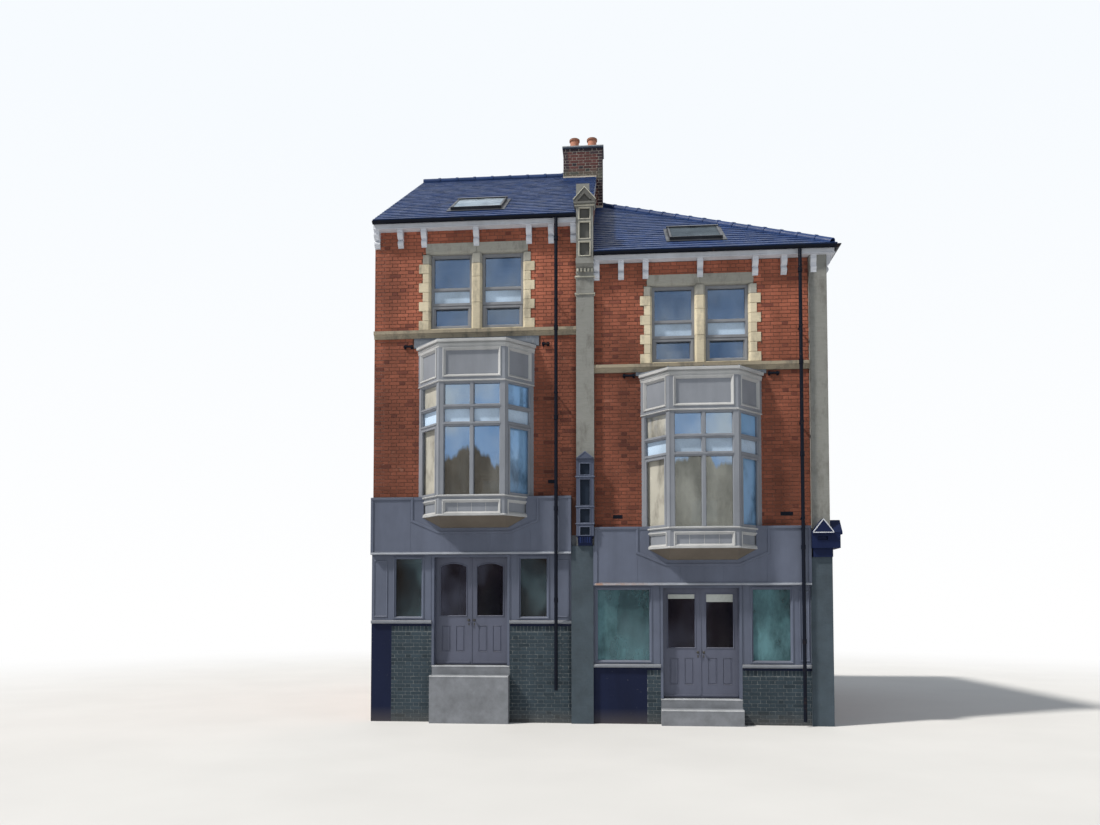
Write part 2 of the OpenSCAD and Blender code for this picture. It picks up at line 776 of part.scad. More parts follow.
module gutters() color("black") place() {
    for (m = [0, 1]) translate([0, m * depth, 0]) mirror([0, m, 0]) {
        stop = m == 0 ? pil_w / 2 : party_t / 2;
        along_x([-left_w, m == 0 ? -stop : stop]) translate([-gutter_axis, gutter_z(0)]) gutter_ring();
        intersection() {
            along_x([stop, right_w + gutter_far]) translate([-gutter_axis, gutter_z(1)]) gutter_ring();
            mitre_side();
        }
    }
    intersection() {
        translate([right_w, 0, 0]) along_y([-gutter_far, depth + gutter_far])
            translate([gutter_axis, gutter_z(1)]) gutter_ring();
        linear_extrude(big) polygon([[right_w - big / 4, big / 4], [right_w + big / 4, -big / 4],
            [right_w + big / 4, depth + big / 4], [right_w - big / 4, depth - big / 4]]);
    }
}

module mitre_side() linear_extrude(big) polygon([[-left_w, -big], [right_w + big, -big], [right_w, 0],
    [right_w, depth / 2], [-left_w, depth / 2]]);

function pipe_foot(u) = u == 0 ? thresholds[0] - step_rise * 2.5 : step_rise / 2;
function pipe_x(u) = u == 0 ? -pipe_left : right_w - pipe_right;

module downpipes() color("black") place() for (u = units) {
    neck = soffit_zs[u] - neck_drop;
    rise = neck_drop - gutter_r;
    lean = gutter_axis - pipe_out;
    translate([pipe_x(u), 0, 0]) {
        translate([0, -pipe_out, pipe_foot(u)]) cylinder(r = pipe_r, h = neck - pipe_foot(u), $fn = 32);
        translate([0, -pipe_out, neck]) {
            sphere(r = socket_r, $fn = 32);
            rotate([atan2(lean, rise), 0, 0]) cylinder(r = pipe_r, h = norm([lean, rise]), $fn = 32);
        }
        translate([0, -gutter_axis, neck + rise]) {
            sphere(r = socket_r, $fn = 32);
            cylinder(r = pipe_r, h = gutter_z(u) - gutter_r - neck - rise, $fn = 32);
        }
        for (z = clip_zs(u)) translate([0, -pipe_out, z]) {
            cylinder(r = pipe_r + clip_grow, h = clip_h, $fn = 32);
            box(clip_half * [-1, 1], [0, pipe_out], [clip_grow, clip_h - clip_grow]);
        }
    }
}
function first_clip(u) = bay_zs[u] + fascia_h / 2;
function clip_zs(u) = [for (z = [first_clip(u) : clip_pitch : soffit_zs[u] - neck_drop - clip_h]) z];

// Section of the string course: a fillet, a hollow and a square face under a weathered top
module string_outline(u) polygon([[0, string_zs[u]], [-string_out, string_zs[u] - string_h * 0.12],
    [-string_out, string_zs[u] - string_h * 0.48], [-string_out * 0.72, string_zs[u] - string_h * 0.55],
    [-string_out * 0.45, string_zs[u] - string_h * 0.72], [-string_out * 0.4, string_zs[u] - string_h],
    [0, string_zs[u] - string_h]]);

module string_courses() color(stone) place() for (u = units) along_x(face_x[u]) string_outline(u);

module window_surrounds() color(stone) place() for (u = units) {
    z = [string_zs[u], lintel_zs[u]];
    difference() {
        union() {
            box(about(axes_x[u], wall_stone), [-stone_out, sash_front], z);
            box(about(axes_x[u], lights_half + lintel_end), [-stone_out, sash_front],
                up(lintel_zs[u], lintel_h));
            for (i = [0:2:(light_h + string_lap) / tooth_h - 1]) for (e = ends)
                translate([axes_x[u] + e * (wall_stone + tooth / 2), 0, 0])
                    box(tooth / 2 * [-1, 1], [-stone_out, 0], up(z[0] + i * tooth_h, tooth_h));
        }
        for (e = ends) light_space(u, e, 0, [-stone_out - cut, sash_front + cut]);
    }
}

// Space of one light, shrunk on all sides
module light_space(u, e, shrink, y) {
    x = axes_x[u] + e * (light_w + mullion_w) / 2;
    box(about(x, light_w / 2 - shrink), y, from(light_zs[u], shrink, light_h - shrink));
}

module upper_window_frames() color("gray") place() for (u = units, e = ends) difference() {
    x = axes_x[u] + e * (light_w + mullion_w) / 2;
    half = light_w / 2 - sash;
    low = light_zs[u] + low_pane;
    mid = low + 2 * sash;
    light_space(u, e, 0, [sash_front, sash_front + sash_d]);
    box(about(x, half - sash * 0.8), [0, wall_t], [light_zs[u] + sash * 1.8, low - sash * 0.2]);
    box(about(x, half), [0, wall_t], up(mid, mid_pane));
    box(about(x, half), [0, wall_t], [mid + mid_pane + sash, lintel_zs[u] - sash]);
    box(about(x, half - sash * 0.3), [sash_front - cut, sash_front + sash_d * 0.2],
        [light_zs[u] + sash * 1.3, low + sash * 0.3]);
}

// Two-light sash: an outer frame with a meeting rail, drawn in the wall's own plane
module plain_sash() difference() {
    translate([-plain_w / 2, 0]) square([plain_w, plain_h]);
    for (z = [sash, plain_h / 2 + sash / 2]) translate([sash - plain_w / 2, z])
        square([plain_w - 2 * sash, plain_h / 2 - 1.5 * sash]);
}

module side_window_frames() color("white") place() {
    for (u = units, x = rear_windows_x(u), z = floors_of(u)) translate([x, 0, z + plain_sill])
        along_y([depth - reveal - sash_d, depth - reveal]) plain_sash();
    for (y = side_windows_y(), z = floors_of(1)) translate([0, y, z + plain_sill])
        along_x([right_w - reveal - sash_d, right_w - reveal]) plain_sash();
}

module window_glass() color(pane) place() {
    for (u = units, e = ends) light_space(u, e, 0, up(sash_front + sash_d, glass_t));
    for (u = units, x = rear_windows_x(u), z = floors_of(u)) box(about(x, plain_w / 2),
        down(depth - reveal - sash_d, glass_t), up(z + plain_sill, plain_h));
    for (y = side_windows_y(), z = floors_of(1)) box(down(right_w - reveal - sash_d, glass_t),
        about(y, plain_w / 2), up(z + plain_sill, plain_h));
    for (u = units) on_slope(u) skylight_box(skylight_frame, up(skylight_rise / 2, glass_t));
}

// Plan of the oriel, inset on all three faces and kept flush with the wall
function bay_side(inset) = bay_half - inset * sqrt(2);
function bay_edge(inset) = bay_front - inset * (sqrt(2) - 1);
function bay_plan(inset) = [[-bay_side(inset), 0], [-bay_edge(inset), inset - bay_out],
    [bay_edge(inset), inset - bay_out], [bay_side(inset), 0]];

module bay_ring(z, out, thick) translate([0, 0, z[0]]) linear_extrude(z[1] - z[0]) difference() {
    polygon(bay_plan(-out));
    polygon(bay_plan(thick));
}

// Draws its children on the oriel's front and on both cants, given each face's length
module on_bay_faces() {
    translate([-bay_front, -bay_out, 0]) children(0);
    for (m = [0, 1]) mirror([m, 0, 0]) translate([bay_front, -bay_out, 0]) rotate([0, 0, 45]) children(1);
}

module face_lights(length, columns) {
    light = (length - 2 * bay_post - (columns - 1) * bay_bar) / columns;
    low = bay_sill;
    rows = [[low, bay_low], [bay_low + bay_bar, bay_low + bay_bar + bay_mid],
        [bay_low + 2 * bay_bar + bay_mid, glazed_h - bay_sill]];
    for (i = [0:columns - 1], row = rows) box(up(bay_post + i * (light + bay_bar), light),
        [-bay_t, bay_t * 3], row);
}

module oriel_frame(u) color(paint) place() translate([axes_x[u], 0, bay_zs[u] + apron_h]) {
    difference() {
        union() {
            bay_ring([0, glazed_h], 0, bay_t);
            difference() {
                bay_ring([0, bay_sill], bay_nose, bay_t);
                box([-bay_half * 2, bay_half * 2], [-fascia_out - drip_out, 0], [-cut, bay_sill + cut]);
            }
        }
        on_bay_faces() {
            face_lights(2 * bay_front, 2);
            face_lights(cant_l, 1);
        }
    }
}

module oriel_frame_left() oriel_frame(0);
module oriel_frame_right() oriel_frame(1);

module face_panel(length, height) {
    box([panel_margin, length - panel_margin], [-cut, panel_sink],
        [panel_margin, height - panel_margin * 0.6]);
}

module apron_sink(length) {
    box([panel_margin, length - panel_margin], [-cut, panel_sink],
        [panel_margin * 0.5, apron_h - panel_margin * 0.8]);
}

module oriel_panels() color(paint) place() for (u = units) translate([axes_x[u], 0, 0]) {
    translate([0, 0, bay_zs[u]]) difference() {
        bay_ring([0, apron_h], 0, bay_t);
        on_bay_faces() {
            apron_sink(2 * bay_front);
            apron_sink(cant_l);
        }
    }
    translate([0, 0, bay_zs[u] + apron_h + glazed_h]) difference() {
        bay_ring([0, head_h], head_grow, bay_t);
        on_bay_faces() {
            translate([0, -head_grow, 0]) face_panel(2 * bay_front, head_h);
            translate([0, -head_grow, 0]) face_panel(cant_l, head_h);
        }
    }
}

// Splayed underside of an oriel, closed by the bay's floor
module oriel_splay(u, grow) {
    hull() {
        translate([0, 0, bay_zs[u] - 2]) linear_extrude(2 + grow) polygon(bay_plan(-grow));
        box((splay_half + grow) * [-1, 1], [-fascia_out * 0.7 - grow, 0],
            from(bay_zs[u] - bay_splay, -grow, 2));
    }
}

module oriel_bases() color(paint) place() for (u = units) translate([axes_x[u], 0, 0]) {
    oriel_splay(u, 0);
    translate([0, 0, bay_zs[u]]) linear_extrude(first_zs[u] - bay_zs[u] + 1) polygon(bay_plan(bay_t));
}

module oriel_roofs() color(paint) place() for (u = units) translate([axes_x[u], 0, 0]) {
    z = bay_zs[u] + apron_h + glazed_h + head_h;
    translate([0, 0, z]) linear_extrude(cornice_h * 0.4) polygon(bay_plan(-cornice_out * 0.5));
    translate([0, 0, z + cornice_h * 0.4]) linear_extrude(cornice_h * 0.6) polygon(bay_plan(-cornice_out));
    box((bay_half + upstand_end) * [-1, 1], [-board_t, 0], [z + cornice_h, string_zs[u] - string_h]);
}

module oriel_glass() color(pane) place() for (u = units) translate([axes_x[u], 0, bay_zs[u] + apron_h])
    on_bay_faces() {
        box([bay_post, 2 * bay_front - bay_post], up(bay_t + bed_gap, glass_t), [0, glazed_h]);
        box([bay_post, cant_l - bay_post], up(bay_t + bed_gap, glass_t), [0, glazed_h]);
    }

module shop_fascias() color(paint) place() for (u = units) difference() {
    union() {
        box(shop_x[u], [-fascia_out, 0], up(fascia_zs[u], fascia_h));
        box(shop_x[u], [-fascia_out - drip_out, 0], up(fascia_zs[u], drip_h));
        difference() {
            box(shop_x[u], [-fascia_out - drip_out / 2, -fascia_out], up(fascia_zs[u], fascia_h));
            box(shop_x[u] + fascia_trim * [1, -1], [-big, 0], up(fascia_zs[u], fascia_h - fascia_trim));
        }
    }
    box(pil_w / 2 * [-1, 1], [-big, cut], [console_z, big]);
    translate([axes_x[u], 0, 0]) oriel_splay(u, 2);
    translate([axes_x[u], 0, bay_zs[u]]) linear_extrude(big / 4) polygon(bay_plan(-2));
}

// Front ends of the cross walls, which the joinery and risers are scribed round
module cross_wall_ends() {
    box([-left_w - cut, -left_w + party_t], [0, wall_t], [-cut, big]);
    box([right_w - wall_t, big], [0, wall_t], [-cut, big]);
}

// Glass edges of a shop's two windows, from the bay's ends inwards
function glass_x(u) = [[shop_x[u][0] + (u == 0 ? blank_left + stile : slim_stile),
    door_x[u] - door_w / 2 - jamb - shop_post], [door_x[u] + door_w / 2 + jamb + shop_post,
    shop_x[u][1] - (u == 0 ? blank_left : blank_right) - stile]];

module shopfront_posts() color(paint) place() for (u = units) difference() {
    post_set(u);
    cross_wall_ends();
}

module post_set(u) {
    top = fascia_zs[u] - head_rail;
    front = [-front_out, front_d - front_out];
    box([shop_x[u][0], glass_x(u)[0][0]], front, [sill_zs[u], top]);
    box([glass_x(u)[1][1], shop_x[u][1]], front, [sill_zs[u], top]);
    for (i = [0, 1]) {
        e = ends[i];
        inner = door_x[u] + e * door_w / 2;
        outer = glass_x(u)[i][1 - i];
        difference() {
            union() {
                box([min(outer, inner + e * jamb), max(outer, inner + e * jamb)], front, [sill_zs[u], top]);
                box([min(inner, inner + e * jamb), max(inner, inner + e * jamb)],
                    [-front_out, jamb_back], [thresholds[u], top]);
                translate([hinge_xs[2 * u + i], leaf_back, thresholds[u] + meeting_gap])
                    for (k = knuckle_zs) translate([0, 0, k]) fixed_knuckles(e);
            }
            box([min(inner - e, inner + e * rebate), max(inner - e, inner + e * rebate)],
                [leaf_face - leaf_gap, jamb_back + cut], [thresholds[u] - cut, top + cut]);
        }
    }
}

// Fixed halves of a hinge, above and below the leaf's knuckle and carried by a plate on the jamb
module fixed_knuckles(e) for (side = ends) translate([0, 0, side * (knuckle_h + pin_gap)]) {
    reach = e * (leaf_gap + hinge_bite);
    cylinder(r = knuckle_r, h = knuckle_h, center = true);
    box([min(0, reach), max(0, reach)], [-jamb_step, 0], [-knuckle_h / 2, knuckle_h / 2]);
}

module shopfront_rails() color(paint) place() for (u = units) {
    difference() {
        box(shop_x[u], [-front_out, jamb_back], down(fascia_zs[u], head_rail));
        cross_wall_ends();
        box(about(door_x[u], door_w / 2 + rebate), [leaf_face - leaf_gap, leaf_back],
            from(fascia_zs[u] - head_rail, -cut, rebate));
    }
    for (x = glass_x(u)) box(x, [-front_out, front_d - front_out], up(sill_zs[u], low_rail));
}

function riser_x(u) = [[shop_x[u][0], door_x[u] - door_w / 2 - jamb],
    [door_x[u] + door_w / 2 + jamb, shop_x[u][1]]];

module shop_sills() color(paint) place() for (u = units, x = riser_x(u)) difference() {
    box(x, [-front_out - sill_nose, riser_t - front_out], down(sill_zs[u], shop_sill));
    cross_wall_ends();
}

module stall_risers() color(dark_paint) place() for (u = units, x = riser_x(u)) difference() {
    box(x, [-front_out, riser_t - front_out], [0, sill_zs[u] - shop_sill]);
    cross_wall_ends();
}

module shop_glass() color(pane) place() for (u = units, x = glass_x(u))
    box(x, up(front_d / 2 - front_out, glass_t), [sill_zs[u] + low_rail, fascia_zs[u] - head_rail]);

module door_steps() color("silver") place() for (u = units) {
    x = about(door_x[u], door_w / 2 + jamb);
    box(x, [-front_out, riser_t - front_out], [0, thresholds[u]]);
    box(x, [-front_out - step_tread, -front_out], [0, thresholds[u] - step_rise]);
}

// Glass opening of a leaf, from its hinge edge, with a flat or a segmental head
module leaf_light(rise) {
    w = leaf_w - 2 * leaf_stile;
    h = leaf_h - leaf_top - leaf_lock;
    translate([leaf_stile, leaf_lock]) {
        square([w, h - rise]);
        if (rise > 0) {
            r = (w * w / 4 + rise * rise) / (2 * rise);
            intersection() {
                translate([w / 2, h - r]) circle(r = r, $fn = 96);
                translate([0, h - rise - cut]) square([w, rise + cut]);
            }
        }
    }
}

// Sunk lower panels of a leaf, two side by side
module leaf_panels() {
    w = (leaf_w - 2 * (leaf_stile + panel_inset) - leaf_muntin) / 2;
    for (i = [0, 1]) translate([leaf_stile + panel_inset + i * (w + leaf_muntin), leaf_bottom])
        square([w, leaf_lock - leaf_rail - leaf_bottom]);
}

// A leaf in its own frame: x from the hinge edge, y from the inner face, z from its foot
module leaf(rise) {
    difference() {
        translate([0, -leaf_t, 0]) cube([leaf_w, leaf_t, leaf_h]);
        along_y([-leaf_t - cut, cut]) leaf_light(rise);
        along_y([-leaf_t - cut, -leaf_t + panel_depth]) leaf_panels();
        for (k = knuckle_zs, side = ends) translate([0, 0, k + side * (knuckle_h + pin_gap)])
            cylinder(r = knuckle_r + 1, h = knuckle_h + pin_gap, center = true);
    }
    for (k = knuckle_zs) translate([0, 0, k]) cylinder(r = knuckle_r, h = knuckle_h, center = true);
}

// Places a leaf's children: the first and third leaves hang left, the others right
module hang(i) {
    u = floor(i / 2);
    translate([hinge_xs[i], leaf_back, thresholds[u] + meeting_gap]) mirror([i % 2, 0, 0]) children();
}

module door_leaf(i) color(paint) place() hang(i) leaf(i < 2 ? arch_rise : 0);
module door_leaf_1() door_leaf(0);
module door_leaf_2() door_leaf(1);
module door_leaf_3() door_leaf(2);
module door_leaf_4() door_leaf(3);

module door_glass(i) color(pane) place() hang(i)
    along_y(about(-leaf_t / 2, glass_t / 2)) leaf_light(i < 2 ? arch_rise : 0);
module door_glass_1() door_glass(0);
module door_glass_2() door_glass(1);
module door_glass_3() door_glass(2);
module door_glass_4() door_glass(3);

// Gabled cap in section across its front
module gable_outline(half, eave, top) polygon([[-half, 0], [half, 0], [half, eave], [0, top], [-half, eave]]);

// Rendered block behind the middle pilaster's cap, standing on the left slope
module pilaster_block() difference() {
    box(block_x, [0, block_d], [eave_zs[0], block_top]);
    translate([0, 0, bed_gap]) along_x([-pil_w, pil_w]) polygon([[-cut, 0], [big, 0],
        [big, roof_z(0, ridge_y)], [ridge_y, roof_z(0, ridge_y)], [-cut, roof_z(0, -cut)]]);
}

module middle_pilaster() color("tan") place() {
    top = niche_z + niche_h;
    difference() {
        union() {
            box(pil_w / 2 * [-1, 1], [-pil_out, 0], [console_z, niche_z]);
            box([-pier_left, pier_right], [-pil_out - pier_out, 0], [0, console_z]);
            along_x(pil_w / 2 * [-1, 1]) polygon(capital_outline);
            box(head_half * [-1, 1], [-head_out, 0], [niche_z, top]);
            box(block_tie * [-1, 1], [-pil_out / 2, 0], [niche_z, roof_z(0, 0) + 2 * block_tie]);
            translate([0, 0, top]) along_y([-head_out - cap_out, 0])
                gable_outline(pil_w * 0.62, gable_h * 0.25, gable_h * 1.2);
            box(pil_w / 2 * [-1, 1], [-pil_out - ledge_out, 0], up(niche_z - ledge_drop, ledge_h));
            pilaster_block();
            box([-pier_left, -party_t / 2], [-cut, riser_t - front_out], [0, fascia_zs[0]]);
            box([party_t / 2, pier_right], [-cut, riser_t - front_out], [0, fascia_zs[1]]);
        }
        for (z = niches) box(niche_half * [-1, 1], [-head_out - cut, niche_d - head_out],
            up(niche_z + z[0], z[1] - z[0]));
        translate([0, 0, top + cap_sink]) along_y([-head_out - cap_out - cut, cap_sink - head_out - cap_out])
            gable_outline(pil_w * 0.36, gable_h * 0.05, gable_h * 0.72);
    }
}

module corner_pilaster() color("tan") place() {
    x = right_w + corner_side;
    difference() {
        union() {
            box([x - corner_w, x], [-pil_out, corner_w - pil_out], [corner_console_z - cut, soffit_zs[1]]);
            box([x - corner_w - pier_grow, x + pier_grow],
                [-pil_out - pier_out, corner_w - pil_out + pier_grow], [0, corner_console_z]);
        }
        box([-big, right_w], [0, big], [-cut, big]);
    }
}

module consoles() color(dark_paint) place() {
    middle_console();
    corner_console();
}

module middle_console() {
    half = pil_w / 2 - 5;
    face = -console_out;
    difference() {
        union() {
            box(half * [-1, 1], [face, -pil_out], [console_z + taper_h, console_z + console_h]);
            along_x((half - console_step) * [-1, 1]) polygon([[-pil_out, console_z], [face * 0.7, console_z],
                [face + pier_out, console_z + foot_h], [face + pier_out, console_z + taper_h],
                [-pil_out, console_z + taper_h]]);
            translate([0, 0, console_z + console_h]) along_y([face - console_step, -pil_out])
                gable_outline(half, console_gable[0], console_gable[1]);
        }
        for (z = recesses) box((half - recess_margin) * [-1, 1], [face - cut, face + recess_d],
            up(console_z + z[0], z[1] - z[0]));
    }
}

module corner_console() {
    x = right_w + corner_side;
    z = corner_console_z;
    top = z + corner_console_h;
    half = corner_w / 2 + console_step;
    difference() {
        union() {
            box([x - corner_w - console_step, x + console_out - pil_out + pier_grow],
                [-console_out, corner_w - pil_out], [z + corner_taper, top]);
            box([x - corner_w, x + pier_grow], [-0.75 * console_out, corner_w - pil_out],
                up(z, corner_taper));
            translate([x - corner_w / 2, 0, top]) along_y([-console_out - ledge_h, corner_w / 2])
                gable_outline(half, corner_gable[0], corner_gable[1]);
            translate([0, corner_w / 2 - pil_out, top]) along_x([x - corner_w / 2, x + console_out])
                gable_outline(half, corner_gable[0], corner_gable[1]);
        }
        box([-big, x], [-pil_out, big], [0, big]);
        box([x - corner_w + recess_margin, x - recess_margin], [-console_out - cut, recess_d - console_out],
            from(top, -3 * recess_d, -recess_d));
    }
}

party_walls();
front_walls();
rear_walls();
side_wall();
shop_beams();
ground_floors();
upper_floors();
roof_front();
roof_rear();
roof_side();
ridge_and_hip_tiles();
chimney_stack();
chimney_cap_slab();
chimney_pots();
skylight_frames();
eaves_boards();
eaves_brackets();
gutters();
downpipes();
string_courses();
window_surrounds();
upper_window_frames();
side_window_frames();
window_glass();
plain_stones();
oriel_bases();
oriel_frame_left();
oriel_frame_right();
oriel_panels();
oriel_roofs();
oriel_glass();
shop_fascias();
shopfront_posts();
shopfront_rails();
shop_sills();
stall_risers();
shop_glass();
door_steps();
door_leaf_1();
door_leaf_2();
door_leaf_3();
door_leaf_4();
door_glass_1();
door_glass_2();
door_glass_3();
door_glass_4();
middle_pilaster();
corner_pilaster();
consoles();
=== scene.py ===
"""Looks of a corner shop building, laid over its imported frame."""
import math
import random

import bmesh
import bpy
from bpy.props import FloatProperty, FloatVectorProperty, PointerProperty
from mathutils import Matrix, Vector


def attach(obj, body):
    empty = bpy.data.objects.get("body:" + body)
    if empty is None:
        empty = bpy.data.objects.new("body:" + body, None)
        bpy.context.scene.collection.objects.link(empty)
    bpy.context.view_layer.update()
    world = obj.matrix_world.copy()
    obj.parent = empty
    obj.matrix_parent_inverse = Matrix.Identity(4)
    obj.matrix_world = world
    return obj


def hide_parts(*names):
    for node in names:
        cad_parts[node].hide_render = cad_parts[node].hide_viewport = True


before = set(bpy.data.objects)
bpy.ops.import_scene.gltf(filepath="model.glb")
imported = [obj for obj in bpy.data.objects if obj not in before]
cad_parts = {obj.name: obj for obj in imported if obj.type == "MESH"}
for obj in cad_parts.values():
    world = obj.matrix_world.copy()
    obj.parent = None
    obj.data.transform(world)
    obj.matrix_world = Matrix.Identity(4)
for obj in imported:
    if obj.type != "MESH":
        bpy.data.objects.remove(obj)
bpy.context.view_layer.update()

bl_info = {
    "name": "Corner shop building",
    "version": (1, 0, 0),
    "blender": (4, 5, 0),
    "location": "3D View > Sidebar > Building",
    "description": "Brickwork, slates, joinery and finishes of a corner shop building",
    "category": "Object",
}

# Metres: x from the middle pilaster, y from the brick face, z from the building's foot. SHIFT leads to the packed
# frame. A pair of values is for the left and the right unit. EVEN is the tone of pieces whose parts are all alike.
SHIFT = Vector((-0.335, -4.135, 0))
LEFT, RIGHT = 0, 1
UP = Vector((0, 0, 1))
EVEN = 0.5

# Walls and floors
DEPTH = 8.6
END_X = (-4.370, 4.770)
PARTY, PILASTER = 0.115, 0.180
FACE_X = ((END_X[0], -PILASTER), (PILASTER, 4.450))
SIDE_Y = (0.3 * DEPTH, 0.7 * DEPTH)
FIRST, SECOND = (4.130, 3.460), (7.280, 6.475)
PLAIN_W, PLAIN_H, PLAIN_SILL = 0.900, 1.500, 0.640

# Shopfronts
SHOP_X = ((-4.370, -0.280), (0.160, 4.415))
SHOP_OUT, FASCIA_OUT = 0.050, 0.150
THRESHOLD, SILL = (1.140, 0.505), (2.050, 1.185)
FASCIA, FASCIA_TOP = (3.380, 2.745), (4.545, 3.910)
GLASS_X = (((-3.905, -3.305), (-1.345, -0.745)), ((0.210, 1.3075), (3.2675, 4.060)))
DOOR_X, DOORWAY = (-2.325, 2.2875), 0.795
HINGE_X = (-3.076, -1.574, 1.5365, 3.0385)
LEAF_W, LEAF_H, LEAF_FACE = 0.7465, 2.187, 0.080
CONSOLE_Z, CORNER_CONSOLE_Z, NICHE_Z = 3.540, 3.290, 9.345

# Oriels
AXIS, BAY = (-2.235, 2.315), (4.120, 3.450)
BAY_HALF, BAY_FRONT, BAY_OUT = 1.190, 0.660, 0.530
APRON, GLAZED, HEAD = 0.380, 2.320, 0.710
BAY_TOP = APRON + GLAZED + HEAD

# Upper windows
STRING, STRING_H = (8.030, 7.225), 0.175
LIGHT, LINTEL = (8.045, 7.240), (9.625, 8.820)
LIGHT_W, MULLION = 0.855, 0.215
WALL_STONE, TOOTH, STONE_COURSE = 1.1225, 0.08, 0.1975
LINTEL_HALF, LINTEL_H = 1.0625, 0.215

# Roof and chimney
SOFFIT, EAVE = (10.110, 9.305), (10.290, 9.485)
OVER, BOARD_OUT, GUTTER_R = 0.210, 0.160, 0.055
RIDGE = 3.158
PITCH = math.atan(RIDGE / (DEPTH / 2 + OVER))
PEAK_X, TIP_X = 0.230, END_X[1] + OVER
SIDE_PITCH = math.atan(RIDGE / (TIP_X - PEAK_X))
CHIMNEY_X, CHIMNEY_Y = (-0.690, 0.300), (4.040, 4.560)
CHIMNEY_TOP = EAVE[LEFT] + RIDGE + 0.580
SKYLIGHT_UP, SKYLIGHT_L = (0.780, 0.750), 1.110


def rear_x(u):
    """Centres of the rear windows of a unit"""
    lo, hi = ((-4.140, -PARTY), (PARTY, 4.440))[u]
    return [lo + t * (hi - lo) for t in (0.27, 0.73)]


class BrickSizes(bpy.types.PropertyGroup):
    """Sizes of the bricks and their joints"""
    length: FloatProperty(name="Stretcher", description="Length of a whole brick", default=0.215, unit="LENGTH")
    header: FloatProperty(name="Header", description="Width of a brick", default=0.1025, unit="LENGTH")
    course: FloatProperty(name="Course", description="Height of a brick and its joint", default=0.075, unit="LENGTH")
    joint: FloatProperty(name="Joint", description="Thickness of the mortar", default=0.010, unit="LENGTH")
    proud: FloatProperty(name="Proud", description="Brick face beyond the mortar", default=0.006, unit="LENGTH")


class SlateSizes(bpy.types.PropertyGroup):
    """Sizes of the slates"""
    width: FloatProperty(name="Width", description="Width of a slate", default=0.255, unit="LENGTH")
    gauge: FloatProperty(name="Gauge", description="Part of a slate left showing", default=0.205, unit="LENGTH")
    lift: FloatProperty(name="Lift", description="Height of a slate's tail over the course below", default=0.014,
                        unit="LENGTH")


def paint_pot(name, about, value):
    """A colour that a user may change, with its default"""
    return FloatVectorProperty(name=name, description=about, default=value, size=3, min=0, max=1, subtype="COLOR")


